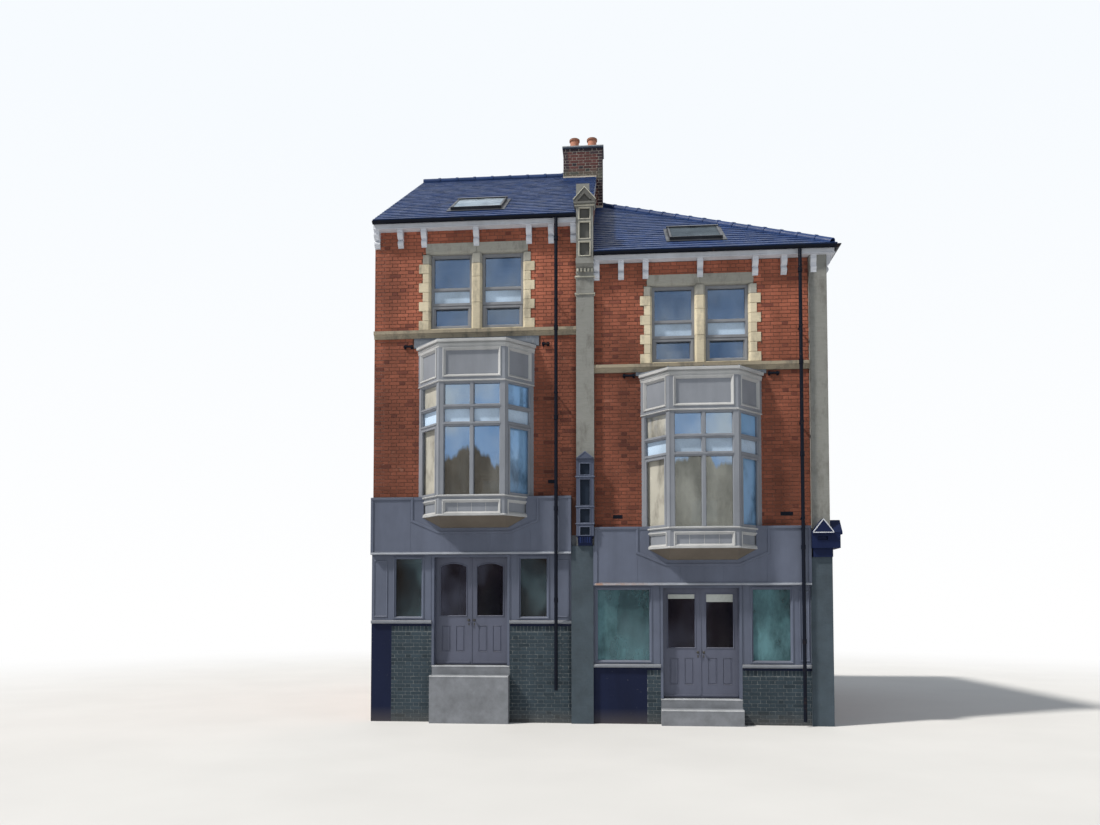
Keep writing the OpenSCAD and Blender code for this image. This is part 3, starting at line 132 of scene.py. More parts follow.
class FinishColours(bpy.types.PropertyGroup):
    """Colours of the building's finishes"""
    brick: paint_pot("Brick", "Pressed red brick", (0.345, 0.112, 0.068))
    burnt_brick: paint_pot("Burnt brick", "Darker bricks among the red ones", (0.215, 0.066, 0.046))
    stack_brick: paint_pot("Stack brick", "Bricks of the chimney", (0.120, 0.048, 0.045))
    sooty_brick: paint_pot("Sooty brick", "Blackened bricks of the chimney", (0.030, 0.027, 0.036))
    mortar: paint_pot("Mortar", "Red-brown mortar of the front", (0.170, 0.078, 0.056))
    party_mortar: paint_pot("Party wall mortar", "Pale mortar of the party walls", (0.40, 0.34, 0.30))
    plaster: paint_pot("Plaster", "Walls inside", (0.50, 0.48, 0.44))
    buff: paint_pot("Buff stone", "Stone of jambs and mullions", (0.66, 0.585, 0.43))
    lintel: paint_pot("Lintel stone", "Greyer stone of the lintels", (0.345, 0.340, 0.305))
    render: paint_pot("Render", "Render of the pilasters", (0.28, 0.285, 0.27))
    # The slates' strong blue is partly a painted reflection of blue sky
    slate: paint_pot("Slate", "Blue-black slates", (0.014, 0.038, 0.125))
    grey_paint: paint_pot("Oriel paint", "Grey paint of the oriels", (0.225, 0.243, 0.280))
    # Its dark blue is partly painted shade; the paint itself is a paler neutral grey
    shop_paint: paint_pot("Shop paint", "Blue-grey paint of the fascias and shopfronts", (0.106, 0.124, 0.178))
    door_paint: paint_pot("Door paint", "Darker grey paint of the shop doors", (0.096, 0.107, 0.155))
    window_paint: paint_pot("Window paint", "Grey of the upper window frames", (0.250, 0.262, 0.290))
    white_paint: paint_pot("White paint", "Eaves boards and brackets", (0.66, 0.69, 0.76))
    sash_paint: paint_pot("Sash paint", "Side and rear windows", (0.70, 0.70, 0.68))
    riser_paint: paint_pot("Riser paint", "Painted bricks under the shop windows", (0.034, 0.050, 0.064))
    navy_paint: paint_pot("Navy paint", "Smooth painted render round the painted bricks", (0.010, 0.016, 0.050))
    pier_paint: paint_pot("Pier paint", "Painted feet of the pilasters", (0.047, 0.068, 0.088))
    stack_joint: paint_pot("Chimney joints", "Pale lime joints and fillets of the chimney", (0.66, 0.60, 0.52))
    cap: paint_pot("Chimney cap", "Sooty concrete slab under the pots", (0.050, 0.066, 0.098))
    niche: paint_pot("Niche stone", "Frames round the pilaster's niches and its gable", (0.50, 0.49, 0.42))
    console_paint: paint_pot("Console paint", "Consoles at the ends of the fascias", (0.010, 0.019, 0.070))
    iron: paint_pot("Iron", "Gutter and pipe paint", (0.004, 0.006, 0.013))
    terracotta: paint_pot("Terracotta", "Chimney pots", (0.46, 0.20, 0.13))
    lead: paint_pot("Lead", "Roofs of the oriels", (0.13, 0.15, 0.18))
    roof_window: paint_pot("Roof window", "Coated metal of the skylights", (0.022, 0.026, 0.036))
    concrete: paint_pot("Step", "Door steps and the beams over the shops", (0.200, 0.214, 0.240))
    nosing: paint_pot("Nosing", "Worn edges of the door steps", (0.52, 0.54, 0.57))
    boards: paint_pot("Boards", "Floor boards", (0.30, 0.19, 0.10))
    furniture: paint_pot("Door furniture", "Dark metal of the door knobs", (0.060, 0.058, 0.055))
    # The trim's paler grey is a painted highlight on the oriels' mouldings, not newer paint
    trim_paint: paint_pot("Trim paint", "Paler, newer paint of the oriels' mouldings", (0.44, 0.45, 0.46))
    # Their dark brown is painted shade under the oriels, tinted by painted light bounced from the ground, not a
    # different paint
    oriel_base: paint_pot("Oriel bases", "Warmer paint under the oriels", (0.150, 0.128, 0.104))
    string: paint_pot("String stone", "Weathered stone of the string courses", (0.40, 0.345, 0.255))
    riser_joint: paint_pot("Riser joints", "Chalky paint in the joints under the shop windows", (0.100, 0.120, 0.135))
    frosted: paint_pot("Frosted glass", "Obscured panes", (0.46, 0.59, 0.75))
    film: paint_pot("Frosted film", "Pale film at the top of the right shop's doors", (0.44, 0.47, 0.45))


class StageLights(bpy.types.PropertyGroup):
    """Strength of the studio's light"""
    key: FloatProperty(name="Key", description="Strength of the key light", default=4.1)
    fill: FloatProperty(name="Fill", description="Strength of the light from all round", default=0.42)


def colour(name):
    """A colour of the panel, opaque"""
    value = getattr(bpy.context.scene.building_colours, name)
    return (value[0], value[1], value[2], 1.0)


def shade(value, factor):
    """A lighter or darker shade of a colour"""
    return tuple(min(1.0, c * factor) for c in value[:3]) + (1.0,)


class Recipe:
    """One procedural material, built node by node in metres of the object's own coordinates"""

    def __init__(self, name):
        self.material = bpy.data.materials.new(name)
        self.material.use_nodes = True
        self.tree = self.material.node_tree
        self.shader = self.tree.nodes["Principled BSDF"]
        self.place = self.node("ShaderNodeTexCoord").outputs["Object"]
        self.normal = None

    @classmethod
    def of_world(cls, world):
        """A recipe for the air round the building"""
        made = cls.__new__(cls)
        made.tree = world.node_tree
        return made

    def node(self, kind, inputs=(), **settings):
        """A node with its inputs, each a value or another node's socket"""
        made = self.tree.nodes.new(kind)
        for key, value in settings.items():
            setattr(made, key, value)
        for key, value in dict(inputs).items():
            self.join(value, made.inputs[key])
        return made

    def join(self, value, socket):
        """Links a socket, or sets it to a value"""
        if isinstance(value, bpy.types.NodeSocket):
            self.tree.links.new(value, socket)
        else:
            socket.default_value = value

    def spot(self):
        """The place on the object, as x, y and z"""
        return tuple(self.node("ShaderNodeSeparateXYZ", {"Vector": self.place}).outputs)

    def facing(self):
        """The way the surface faces, as x, y and z"""
        turn = self.node("ShaderNodeNewGeometry").outputs["Normal"]
        return tuple(self.node("ShaderNodeSeparateXYZ", {"Vector": turn}).outputs)

    def tone(self):
        """The shade that each brick, slate or stone was given, from 0 to 1"""
        return self.node("ShaderNodeAttribute", attribute_name="tone").outputs["Fac"]

    def noise(self, scale, detail=4, rough=0.55, stretch=(1, 1, 1)):
        """A noise's factor; stretch below 1 draws it out along that axis"""
        spot = self.node("ShaderNodeMapping", {"Vector": self.place, "Scale": stretch}).outputs[0]
        return self.node("ShaderNodeTexNoise", {"Vector": spot, "Scale": scale, "Detail": detail,
                                                "Roughness": rough}).outputs["Fac"]

    def ramp(self, fac, *stops):
        """A ramp through stops of a place and a colour or grey"""
        made = self.node("ShaderNodeValToRGB", {"Fac": fac})
        points = made.color_ramp.elements
        while len(points) < len(stops):
            points.new(0.5)
        for point, (where, value) in zip(points, stops):
            point.position = where
            point.color = value if hasattr(value, "__len__") else (value, value, value, 1)
        return made.outputs["Color"]

    def mix(self, fac, a, b, mode="MIX"):
        """Colour a with a share of colour b"""
        made = self.node("ShaderNodeMix", data_type="RGBA", blend_type=mode)
        for value, slot in ((fac, 0), (a, 6), (b, 7)):
            self.join(value, made.inputs[slot])
        return made.outputs[2]

    def darken(self, body, value, share=1.0):
        """Multiplies a colour by another one"""
        return self.mix(share, body, value, "MULTIPLY")

    def clouds(self, grain, low, high):
        """Soft clouds of a noise between two numbers"""
        return self.ramp(self.noise(*grain), (0.3, low), (0.7, high))

    def mottle(self, base, low, high, grain):
        """Clouds between two shades of a colour"""
        return self.mix(self.clouds(grain, 0.0, 1.0), shade(base, low), shade(base, high))

    def spots(self, body, value, grain, levels, share):
        """Patches of another colour, from one level of a noise to their full share at the next"""
        return self.mix(self.ramp(self.noise(*grain), (levels[0], 0.0), (levels[1], share)), body, value)

    def calc(self, kind, a, b=0.0, clamp=False):
        """A calculation with two numbers or sockets"""
        made = self.node("ShaderNodeMath", operation=kind, use_clamp=clamp)
        self.join(a, made.inputs[0])
        self.join(b, made.inputs[1])
        return made.outputs[0]

    def plus(self, a, b):
        """The sum of two numbers or sockets"""
        return self.calc("ADD", a, b)

    def times(self, a, b):
        """The product of two numbers or sockets"""
        return self.calc("MULTIPLY", a, b)

    def above(self, value, level):
        """1 above a level and 0 below it"""
        return self.calc("GREATER_THAN", value, level)

    def below(self, value, level):
        """1 below a level and 0 above it"""
        return self.calc("LESS_THAN", value, level)

    def within(self, value, low, high):
        """1 between two levels and 0 beyond them"""
        return self.times(self.above(value, low), self.below(value, high))

    def beside(self, value, centre):
        """Distance of a coordinate from a centre"""
        return self.calc("ABSOLUTE", self.calc("SUBTRACT", value, centre))

    def either(self, which, a, b):
        """Number a where which is 0, number b where it is 1"""
        return self.plus(a, self.times(which, b - a))

    def fade(self, value, start, end, first=0.0, last=1.0):
        """Goes evenly from a first to a last number between two levels"""
        return self.node("ShaderNodeMapRange", {"Value": value, "From Min": start, "From Max": end, "To Min": first,
                                                "To Max": last}).outputs[0]

    def bump(self, height, strength, distance):
        """Adds relief to what is there already"""
        inputs = {"Height": height, "Strength": strength, "Distance": distance}
        if self.normal:
            inputs["Normal"] = self.normal
        self.normal = self.node("ShaderNodeBump", inputs).outputs[0]

    def done(self, base, rough, metallic=0.0, gloss=0.5):
        """Joins the colour, roughness and relief to the shader"""
        self.shader.inputs["Specular IOR Level"].default_value = gloss
        self.join(base, self.shader.inputs["Base Color"])
        self.join(rough, self.shader.inputs["Roughness"])
        self.shader.inputs["Metallic"].default_value = metallic
        if self.normal:
            self.join(self.normal, self.shader.inputs["Normal"])
        return self.material


def streaks(r, strength):
    """Rain streaks and grime that darken a wall face downwards"""
    return r.ramp(r.noise(1.6, 6, 0.62, (1.0, 1.0, 0.16)), (0.36, 1 - strength), (0.62, 1.0))


def fire(r, bright, dark, burnt):
    """Colour and roughness of bricks fired to many shades, with streaks, a lime bloom, painted light up high and
    painted shade with some staining low down
    """
    body = r.ramp(r.tone(), (0.0, shade(colour(dark), 0.80)), (burnt, colour(dark)),
                  (burnt + 0.14, shade(colour(bright), 0.84)), (burnt + 0.53, colour(bright)),
                  (1.0, shade(colour(bright), 1.22)))
    grain = r.noise(90, 5, 0.6)
    body = r.darken(body, r.ramp(grain, (0.3, 0.58), (0.7, 1.0)), 0.5)
    body = r.darken(body, streaks(r, 0.55), 0.6)
    body = r.darken(body, r.ramp(r.noise(0.7, 4, 0.6), (0.35, 0.74), (0.62, 1.06)))
    # Darker under 6.8 m and brighter over 8.3 m: painted shade on the lower storey, partly staining, and painted light
    # up high
    body = r.darken(body, r.fade(r.spot()[2], 6.8, 8.3, 0.76, 1.30))
    bloom = (0.52, 0.34, 0.26, 1)
    body = r.spots(body, bloom, (2.3, 5, 0.7), (0.64, 0.80), 0.34)
    r.bump(r.noise(140, 4, 0.6), 0.5, 0.002)
    r.bump(r.noise(22, 3, 0.5), 0.35, 0.003)
    return body, r.ramp(grain, (0.2, 0.72), (0.8, 0.92))


def pressed_brick(name):
    """Machine-pressed red bricks"""
    r = Recipe(name)
    return r.done(*fire(r, "brick", "burnt_brick", 0.12), gloss=0.25)


def sooted_brick(name):
    """The chimney's bricks: black at the corners and under the cap, stained at the foot"""
    r = Recipe(name)
    body, rough = fire(r, "stack_brick", "sooty_brick", 0.24)
    x, _, z = r.spot()
    half, stained = (CHIMNEY_X[1] - CHIMNEY_X[0]) / 2, (0.13, 0.14, 0.11, 1)
    across = r.beside(x, SHIFT.x + sum(CHIMNEY_X) / 2)
    corner = r.above(r.plus(across, r.times(r.tone(), 0.10)), half - 0.055)
    under = r.above(r.plus(z, r.times(r.tone(), 0.12)), CHIMNEY_TOP - 0.03)
    body = r.mix(r.times(r.calc("MAXIMUM", corner, under), 0.85), body, colour("sooty_brick"))
    foot = EAVE[LEFT] + (CHIMNEY_Y[0] + OVER) * math.tan(PITCH)
    stain = r.times(r.fade(z, foot + 0.10, foot + 0.26, 0.6, 0.0), r.above(z, foot - 0.04))
    return r.done(r.mix(stain, body, stained), rough, gloss=0.2)


def coursed_brick(name):
    """Rough brickwork of the party walls outside, plaster on the same walls inside"""
    r = Recipe(name)
    x, y, z = r.spot()
    mortar, plaster, low_roof = colour("party_mortar"), colour("plaster"), 9.05
    flat = r.node("ShaderNodeCombineXYZ", {"X": y, "Y": z}).outputs[0]
    laid = r.node("ShaderNodeTexBrick", {
        "Vector": flat, "Scale": 1.0, "Mortar Size": 0.006, "Mortar Smooth": 0.2, "Brick Width": 0.225,
        "Row Height": 0.075, "Color1": colour("brick"), "Color2": colour("burnt_brick"),
        "Mortar": shade(mortar, 0.7)}, offset=0.5)
    body = r.darken(laid.outputs["Color"], streaks(r, 0.5), 0.6)
    body = r.spots(body, shade(mortar, 0.9), (0.9, 6, 0.7), (0.55, 0.7), 0.55)
    inside = r.spots(plaster, shade(plaster, 0.84), (3, 5, 0.6), (0.3, 0.7), 0.5)
    left = r.below(x, END_X[0] + SHIFT.x + 0.02)
    over = r.times(r.above(x, SHIFT.x + 0.10), r.above(z, low_roof))
    ends = r.plus(r.below(y, SHIFT.y + 0.02), r.above(y, SHIFT.y + DEPTH - 0.02))
    outside = r.calc("ADD", r.plus(left, over), ends, True)
    r.bump(r.times(laid.outputs["Fac"], -1.0), 0.7, 0.006)
    r.bump(r.noise(60, 5, 0.6), 0.4, 0.003)
    return r.done(r.mix(outside, inside, body), 0.9)


def bed_mortar(name, pot="mortar"):
    """Sandy mortar with darker clouds"""
    r = Recipe(name)
    grain = r.noise(160, 5, 0.65)
    body = r.spots(colour(pot), shade(colour(pot), 0.7), (3, 5, 0.6), (0.35, 0.7), 1.0)
    body = r.darken(body, r.ramp(grain, (0.3, 0.6), (0.7, 1.0)), 0.4)
    r.bump(grain, 0.6, 0.003)
    return r.done(body, 0.95)


def weather(r, base, soot, grain_scale):
    """Colour and roughness of sandstone or render with beds, soot and a green bloom, each stone in its own shade"""
    body = r.mix(r.ramp(r.tone(), (0.0, 0.0), (1.0, 1.0)), shade(colour(base), 0.84), shade(colour(base), 1.12))
    beds = r.noise(7, 5, 0.6, (1, 1, 5))
    black, green = (0.10, 0.095, 0.085, 1), (0.24, 0.26, 0.13, 1)
    body = r.darken(body, r.ramp(beds, (0.3, 0.7), (0.7, 1.0)), 0.5)
    body = r.spots(body, black, (4.2, 7, 0.7, (1, 1, 0.45)), (0.50, 0.70), soot)
    body = r.spots(body, green, (9, 6, 0.7), (0.62, 0.74), 0.35)
    r.bump(r.noise(grain_scale * 3, 4, 0.6), 0.45, 0.002)
    r.bump(r.noise(grain_scale * 0.5, 6, 0.65), 0.5, 0.006)
    return body, r.ramp(beds, (0.2, 0.78), (0.8, 0.93))


def weathered_stone(name, base, soot):
    """Sandstone, more or less sooty"""
    r = Recipe(name)
    return r.done(*weather(r, base, soot, 55))


def pilaster_render(name):
    """Render down to the consoles, painted masonry below them, niches darkened inside with painted shade, and a darker
    gable
    """
    r = Recipe(name)
    x, y, z = r.spot()
    flaked, deep, gabled = (0.30, 0.29, 0.26, 1), (0.075, 0.076, 0.072, 1), (0.052, 0.052, 0.050, 1)
    stone, rough = weather(r, "render", 0.75, 70)
    limit = r.either(r.below(x, 1.0), CORNER_CONSOLE_Z, CONSOLE_Z)
    paint = r.mottle(colour("pier_paint"), 0.74, 1.2, (2.2, 6, 0.65))
    paint = r.spots(paint, flaked, (13, 7, 0.72), (0.68, 0.74), 0.6)
    # The niches are darkened inside: painted shade in the recesses
    niches = r.times(r.within(z, NICHE_Z, NICHE_Z + 1.11), r.within(y, SHIFT.y - 0.175, SHIFT.y - 0.12))
    stone = r.mix(r.times(niches, 0.85), stone, deep)
    gable = r.times(r.above(z, NICHE_Z + 1.12), r.below(y, SHIFT.y - 0.19))
    stone = r.mix(r.times(gable, 0.72), stone, gabled)
    return r.done(r.mix(r.below(z, limit), stone, paint), rough)


def split_slate(name):
    """Split blue slates, each in its own shade, with grey clouds and pale specks"""
    r = Recipe(name)
    base, grey, speck = colour("slate"), (0.120, 0.140, 0.180, 1), (0.19, 0.20, 0.17, 1)
    body = r.ramp(r.tone(), (0.0, shade(base, 0.72)), (0.4, base), (0.75, shade(base, 1.2)), (1.0, shade(base, 1.5)))
    body = r.spots(body, grey, (0.55, 5, 0.6), (0.52, 0.72), 0.22)
    body = r.spots(body, speck, (14, 6, 0.7), (0.69, 0.78), 0.4)
    r.bump(r.noise(30, 6, 0.65), 0.35, 0.004)
    return r.done(body, r.clouds((5, 5, 0.6), 0.34, 0.58), gloss=0.15)


def brushed_paint(name, pot, rough=(0.34, 0.52), chips=0.25, dust=0.35):
    """Oil paint on timber: brush marks, dust on ledges and a few worn patches"""
    r = Recipe(name)
    base, settled = colour(pot), (0.42, 0.40, 0.36, 1)
    body = r.mottle(base, 0.90, 1.10, (1.4, 5, 0.6))
    body = r.darken(body, streaks(r, 0.30), 0.6)
    ledge = r.calc("MULTIPLY", r.ramp(r.facing()[2], (0.55, 0.0), (0.9, dust)), r.noise(11, 5, 0.6), True)
    body = r.mix(ledge, body, settled)
    worn = r.ramp(r.noise(26, 7, 0.72), (0.69, 0.0), (0.73, chips))
    body = r.mix(worn, body, shade(base, 0.45))
    r.bump(r.noise(70, 3, 0.5, (1, 1, 0.10)), 0.16, 0.0012)
    r.bump(worn, 0.2, 0.0015)
    r.bump(r.noise(2.4, 2, 0.5), 0.10, 0.010)
    return r.done(body, r.clouds((6, 5, 0.6), *rough), gloss=0.3)


def rusted_ledge(name):
    """Pale painted ledges; rust shows through beside the middle pilaster"""
    r = Recipe(name)
    x, rusty = r.spot()[0], (0.33, 0.15, 0.06, 1)
    body = r.mottle(shade(colour("grey_paint"), 1.35), 0.8, 1.15, (3, 5, 0.6))
    near = r.times(r.fade(x, SHIFT.x + 0.25, SHIFT.x + 1.6, 0.75, 0.0), r.above(x, SHIFT.x))
    rust = r.times(near, r.ramp(r.noise(9, 6, 0.7), (0.38, 0.0), (0.56, 1.0)))
    r.bump(r.noise(60, 4, 0.6), 0.2, 0.002)
    return r.done(r.mix(rust, body, rusty), 0.6)


def painted_masonry(name, pot, rough=(0.45, 0.7), flakes=(0.66, 0.72)):
    """Paint on bricks and render, flaked in spots and dirty at the foot"""
    r = Recipe(name)
    flaked, dirty = (0.30, 0.31, 0.30, 1), (0.16, 0.14, 0.12, 1)
    body = r.mix(r.tone(), shade(colour(pot), 0.78), shade(colour(pot), 1.30))
    body = r.darken(body, streaks(r, 0.35), 0.7)
    flake = r.ramp(r.noise(17, 7, 0.72), (flakes[0], 0.0), (flakes[1], 0.55))
    body = r.mix(flake, body, flaked)
    body = r.mix(r.ramp(r.spot()[2], (0.0, 0.30), (0.3, 0.0)), body, dirty)
    r.bump(r.noise(80, 5, 0.6), 0.45, 0.003)
    r.bump(flake, 0.3, -0.0015)
    return r.done(body, r.clouds((8, 5, 0.6), *rough), gloss=0.12)


def console_coat(name):
    """Deep blue consoles; the middle one has a grey-blue front round its sunk panels, darkened by painted shade"""
    r = Recipe(name)
    x, y, z = r.spot()
    blue, sunk, face = colour("console_paint"), (0.012, 0.020, 0.036, 1), SHIFT.y - 0.222
    body = r.mix(r.tone(), shade(blue, 0.78), shade(blue, 1.30))
    middle = r.times(r.below(x, 1.0), r.above(z, CONSOLE_Z + 0.19))
    front = r.times(middle, r.below(y, face))
    panel = r.times(r.times(middle, r.below(r.beside(x, SHIFT.x), 0.103)), r.above(y, face))
    body = r.mix(r.times(front, 0.75), body, colour("shop_paint"))
    # The middle console's sunk panels go near black: painted shade in the recesses
    body = r.mix(panel, body, sunk)
    body = r.darken(body, streaks(r, 0.35), 0.7)
    r.bump(r.noise(80, 5, 0.6), 0.45, 0.003)
    return r.done(body, r.clouds((8, 5, 0.6), 0.45, 0.65), gloss=0.12)


def cast_iron(name):
    """Black paint on cast iron with a little rust"""
    r = Recipe(name)
    rusty = (0.075, 0.040, 0.025, 1)
    body = r.spots(colour("iron"), rusty, (7, 7, 0.7), (0.60, 0.72), 0.5)
    r.bump(r.noise(60, 4, 0.6), 0.25, 0.002)
    return r.done(body, r.clouds((9, 4, 0.6), 0.30, 0.5), gloss=0.1)


def fired_clay(name):
    """Chimney pots, sooty at the rim"""
    r = Recipe(name)
    body, soot = r.mottle(colour("terracotta"), 0.8, 1.2, (6, 6, 0.65)), (0.03, 0.025, 0.02, 1)
    top = r.fade(r.spot()[2], CHIMNEY_TOP + 0.26, CHIMNEY_TOP + 0.38)
    body = r.mix(r.times(top, r.noise(12, 5, 0.6)), body, soot)
    r.bump(r.noise(90, 5, 0.6), 0.35, 0.002)
    return r.done(body, 0.82)


def sheet_lead(name, pot="lead", rough=(0.42, 0.62), worn=0.5):
    """Dressed sheet metal with pale runs down it"""
    r = Recipe(name)
    body, runs = r.mottle(colour(pot), 0.7, 1.25, (3.5, 6, 0.65)), (0.45, 0.46, 0.46, 1)
    body = r.spots(body, runs, (9, 6, 0.7, (1, 1, 0.3)), (0.58, 0.75), worn)
    r.bump(r.noise(12, 4, 0.5), 0.3, 0.006)
    return r.done(body, r.clouds((7, 4, 0.5), *rough), 0.35)


def rough_concrete(name, pot="concrete"):
    """Trodden concrete with fine dark grit"""
    r = Recipe(name)
    body, grit = r.mottle(colour(pot), 0.72, 1.12, (4, 6, 0.65)), (0.18, 0.17, 0.16, 1)
    body = r.spots(body, grit, (120, 3, 0.6), (0.6, 0.8), 0.4)
    r.bump(r.noise(110, 5, 0.6), 0.5, 0.003)
    return r.done(body, 0.88)


def cap_concrete(name):
    """Sooty concrete with a painted highlight along its top edge"""
    r = Recipe(name)
    body, pale = r.mottle(colour("cap"), 0.72, 1.2, (5, 6, 0.65)), (0.42, 0.44, 0.46, 1)
    # A pale band along the top edge: a painted highlight where light falls on the slab's upper edge
    lit_top_edge = r.above(r.spot()[2], CHIMNEY_TOP + 0.036)
    body = r.mix(r.times(lit_top_edge, 0.8), body, pale)
    r.bump(r.noise(110, 5, 0.6), 0.5, 0.003)
    return r.done(body, 0.88, gloss=0.2)


def floor_boards(name):
    """Planks with gaps and grain along them"""
    r = Recipe(name)
    laid = r.node("ShaderNodeTexBrick", {
        "Vector": r.place, "Scale": 1.0, "Mortar Size": 0.003, "Brick Width": 2.4, "Row Height": 0.15,
        "Color1": colour("boards"), "Color2": shade(colour("boards"), 0.7), "Mortar": (0.02, 0.015, 0.01, 1)})
    grain = r.noise(5, 6, 0.6, (1, 14, 1))
    body = r.darken(laid.outputs["Color"], r.ramp(grain, (0.3, 0.6), (0.7, 1.0)), 0.5)
    r.bump(r.times(laid.outputs["Fac"], -1.0), 0.5, 0.003)
    return r.done(body, 0.6)


def window_glass(name, body=(0.66, 0.74, 0.80, 1), mirror=0.22, tints=None, low=None, levels=(0, 0),
                 haze=(0.22, 0.22), dust=((0.34, 0.36, 0.36, 1),) * 2, cants=False, dim_right=0.0):
    """Clear panes that mirror a painted reflection of sky above a low band of painted street, and hold a film of dust

    Levels and colours of the band, haze and dust come in pairs for the left and the right unit
    """
    r = Recipe(name)
    x, _, z = r.spot()
    right, black = r.above(x, SHIFT.x), (0, 0, 0, 1)
    patch = r.noise(0.9, 3, 0.5, (1, 1, 0.7))
    through = r.node("ShaderNodeBsdfTransparent", {"Color": body})
    r.bump(r.noise(1.3, 2, 0.5), 0.20, 0.012)
    # The tints colour what the panes mirror: a painted reflection of sky, in patches
    tints = tints or ((0.15, 0.27, 0.50, 1), (0.30, 0.45, 0.72, 1), (0.46, 0.58, 0.76, 1))
    tint = r.ramp(patch, *zip((0.35, 0.50, 0.66), tints))
    tint = r.mix(r.times(right, dim_right), tint, (0.03, 0.04, 0.05, 1))
    # Below a ragged level the mirror takes the low band's colours instead: a painted reflection of the street, with
    # darker patches
    if low:
        ragged = r.times(r.calc("SUBTRACT", r.noise(1.1, 5, 0.6, (1, 1, 0.2)), 0.5), 2.0)
        height = r.calc("SUBTRACT", r.plus(z, ragged), r.either(right, *levels))
        band = r.mix(right, *low)
        band = r.spots(band, r.mix(0.45, band, black), (3.0, 5, 0.6, (1, 1, 0.4)), (0.35, 0.65), 1.0)
        tint = r.mix(r.fade(height, -0.04, 0.06), band, tint)
    shine = r.node("ShaderNodeBsdfGlossy", {"Color": tint, "Roughness": 0.04, "Normal": r.normal})
    edge = r.node("ShaderNodeFresnel", {"IOR": 1.5}).outputs[0]
    share = r.calc("ADD", edge, mirror, True)
    both = r.node("ShaderNodeMixShader", {0: share, 1: through.outputs[0], 2: shine.outputs[0]})
    film = r.ramp(r.noise(1.6, 7, 0.66, (1, 1, 0.5)), (0.36, 0.2), (0.66, 1.0))
    film = r.times(film, r.either(right, *haze))
    cast = r.mix(right, *dust)
    # Cants facing left get a pale yellowish film and cants facing right a blue one: painted sunlight on the left, a
    # painted reflection of blue sky on the right
    if cants:
        turn, painted_sunlit, painted_sky_blue = r.facing()[0], (0.60, 0.58, 0.51, 1), (0.34, 0.60, 0.95, 1)
        lit, dim = r.below(turn, -0.5), r.above(turn, 0.5)
        film = r.calc("MAXIMUM", film, r.plus(r.times(lit, 0.72), r.times(dim, 0.62)))
        cast = r.mix(dim, r.mix(lit, cast, painted_sunlit), painted_sky_blue)
    # Upright streaks lighten and darken the film: painted highlights and shade, as of creased sheeting
    painted_fold_light = r.ramp(r.noise(2.6, 6, 0.62, (1, 1, 0.45)), (0.32, 0.45), (0.50, 0.95), (0.66, 1.05), (0.76, 1.6))
    dust_and_painted_light = r.node("ShaderNodeBsdfDiffuse", {"Color": r.darken(cast, painted_fold_light)})
    seen = r.node("ShaderNodeMixShader", {0: film, 1: both.outputs[0], 2: dust_and_painted_light.outputs[0]})
    r.join(seen.outputs[0], r.tree.nodes["Material Output"].inputs["Surface"])
    r.tree.nodes.remove(r.shader)
    return r.material


def oriel_glass(name):
    """Oriel panes with painted sunlight on their left cants, a painted reflection of blue sky on their right ones and
    of the street low down
    """
    tints = ((0.20, 0.38, 0.68, 1), (0.34, 0.52, 0.80, 1), (0.58, 0.70, 0.82, 1))
    low = ((0.140, 0.122, 0.098, 1), (0.40, 0.40, 0.35, 1))
    return window_glass(name, (0.60, 0.64, 0.64, 1), 0.50, tints, low, (5.30, 5.20), cants=True)


def door_glass(name):
    """Dark panes of the shop doors"""
    tints = ((0.006, 0.006, 0.012, 1), (0.020, 0.016, 0.022, 1), (0.075, 0.080, 0.115, 1))
    return window_glass(name, (0.46, 0.44, 0.44, 1), 0.40, tints, haze=(0.03, 0.03))


def skylight_glass(name):
    """Hazy skylight panes, dimmer on the right unit"""
    tints = ((0.13, 0.16, 0.20, 1), (0.28, 0.34, 0.41, 1), (0.46, 0.54, 0.60, 1))
    dust = ((0.46, 0.54, 0.62, 1), (0.13, 0.16, 0.19, 1))
    return window_glass(name, (0.40, 0.44, 0.48, 1), 0.55, tints, haze=(0.70, 0.60), dust=dust, dim_right=0.8)


def shop_glass(name):
    """Shop panes: clear and dark on the left unit, milky on the right one"""
    tints = ((0.030, 0.022, 0.018, 1), (0.050, 0.070, 0.085, 1), (0.17, 0.27, 0.31, 1))
    dust = ((0.16, 0.15, 0.14, 1), (0.125, 0.255, 0.290, 1))
    return window_glass(name, (0.56, 0.52, 0.48, 1), 0.30, tints, haze=(0.10, 0.85), dust=dust)


def frosted_glass(name, pot="frosted"):
    """Obscured panes that scatter the light"""
    r = Recipe(name)
    base = colour(pot)
    body = r.spots(shade(base, 0.74), shade(base, 1.16), (1.2, 3, 0.5), (0.35, 0.65), 1.0)
    r.bump(r.noise(240, 3, 0.5), 0.15, 0.001)
    return r.done(body, r.clouds((40, 3, 0.5), 0.22, 0.34))


def worn_metal(name):
    """Dark metal with rubbed patches"""
    r = Recipe(name)
    base = colour("furniture")
    body = r.spots(base, shade(base, 2.2), (40, 5, 0.6), (0.4, 0.7), 0.6)
    r.bump(r.noise(180, 3, 0.5), 0.1, 0.0006)
    return r.done(body, r.clouds((60, 4, 0.6), 0.22, 0.45), 1.0)


def woven_blind(name):
    """Pale cloth of a window blind"""
    r = Recipe(name)
    weave = r.noise(260, 2, 0.5, (1, 1, 0.2))
    body = r.ramp(weave, (0.3, (0.60, 0.60, 0.57, 1)), (0.7, (0.74, 0.74, 0.71, 1)))
    r.bump(weave, 0.2, 0.001)
    return r.done(body, 0.85)


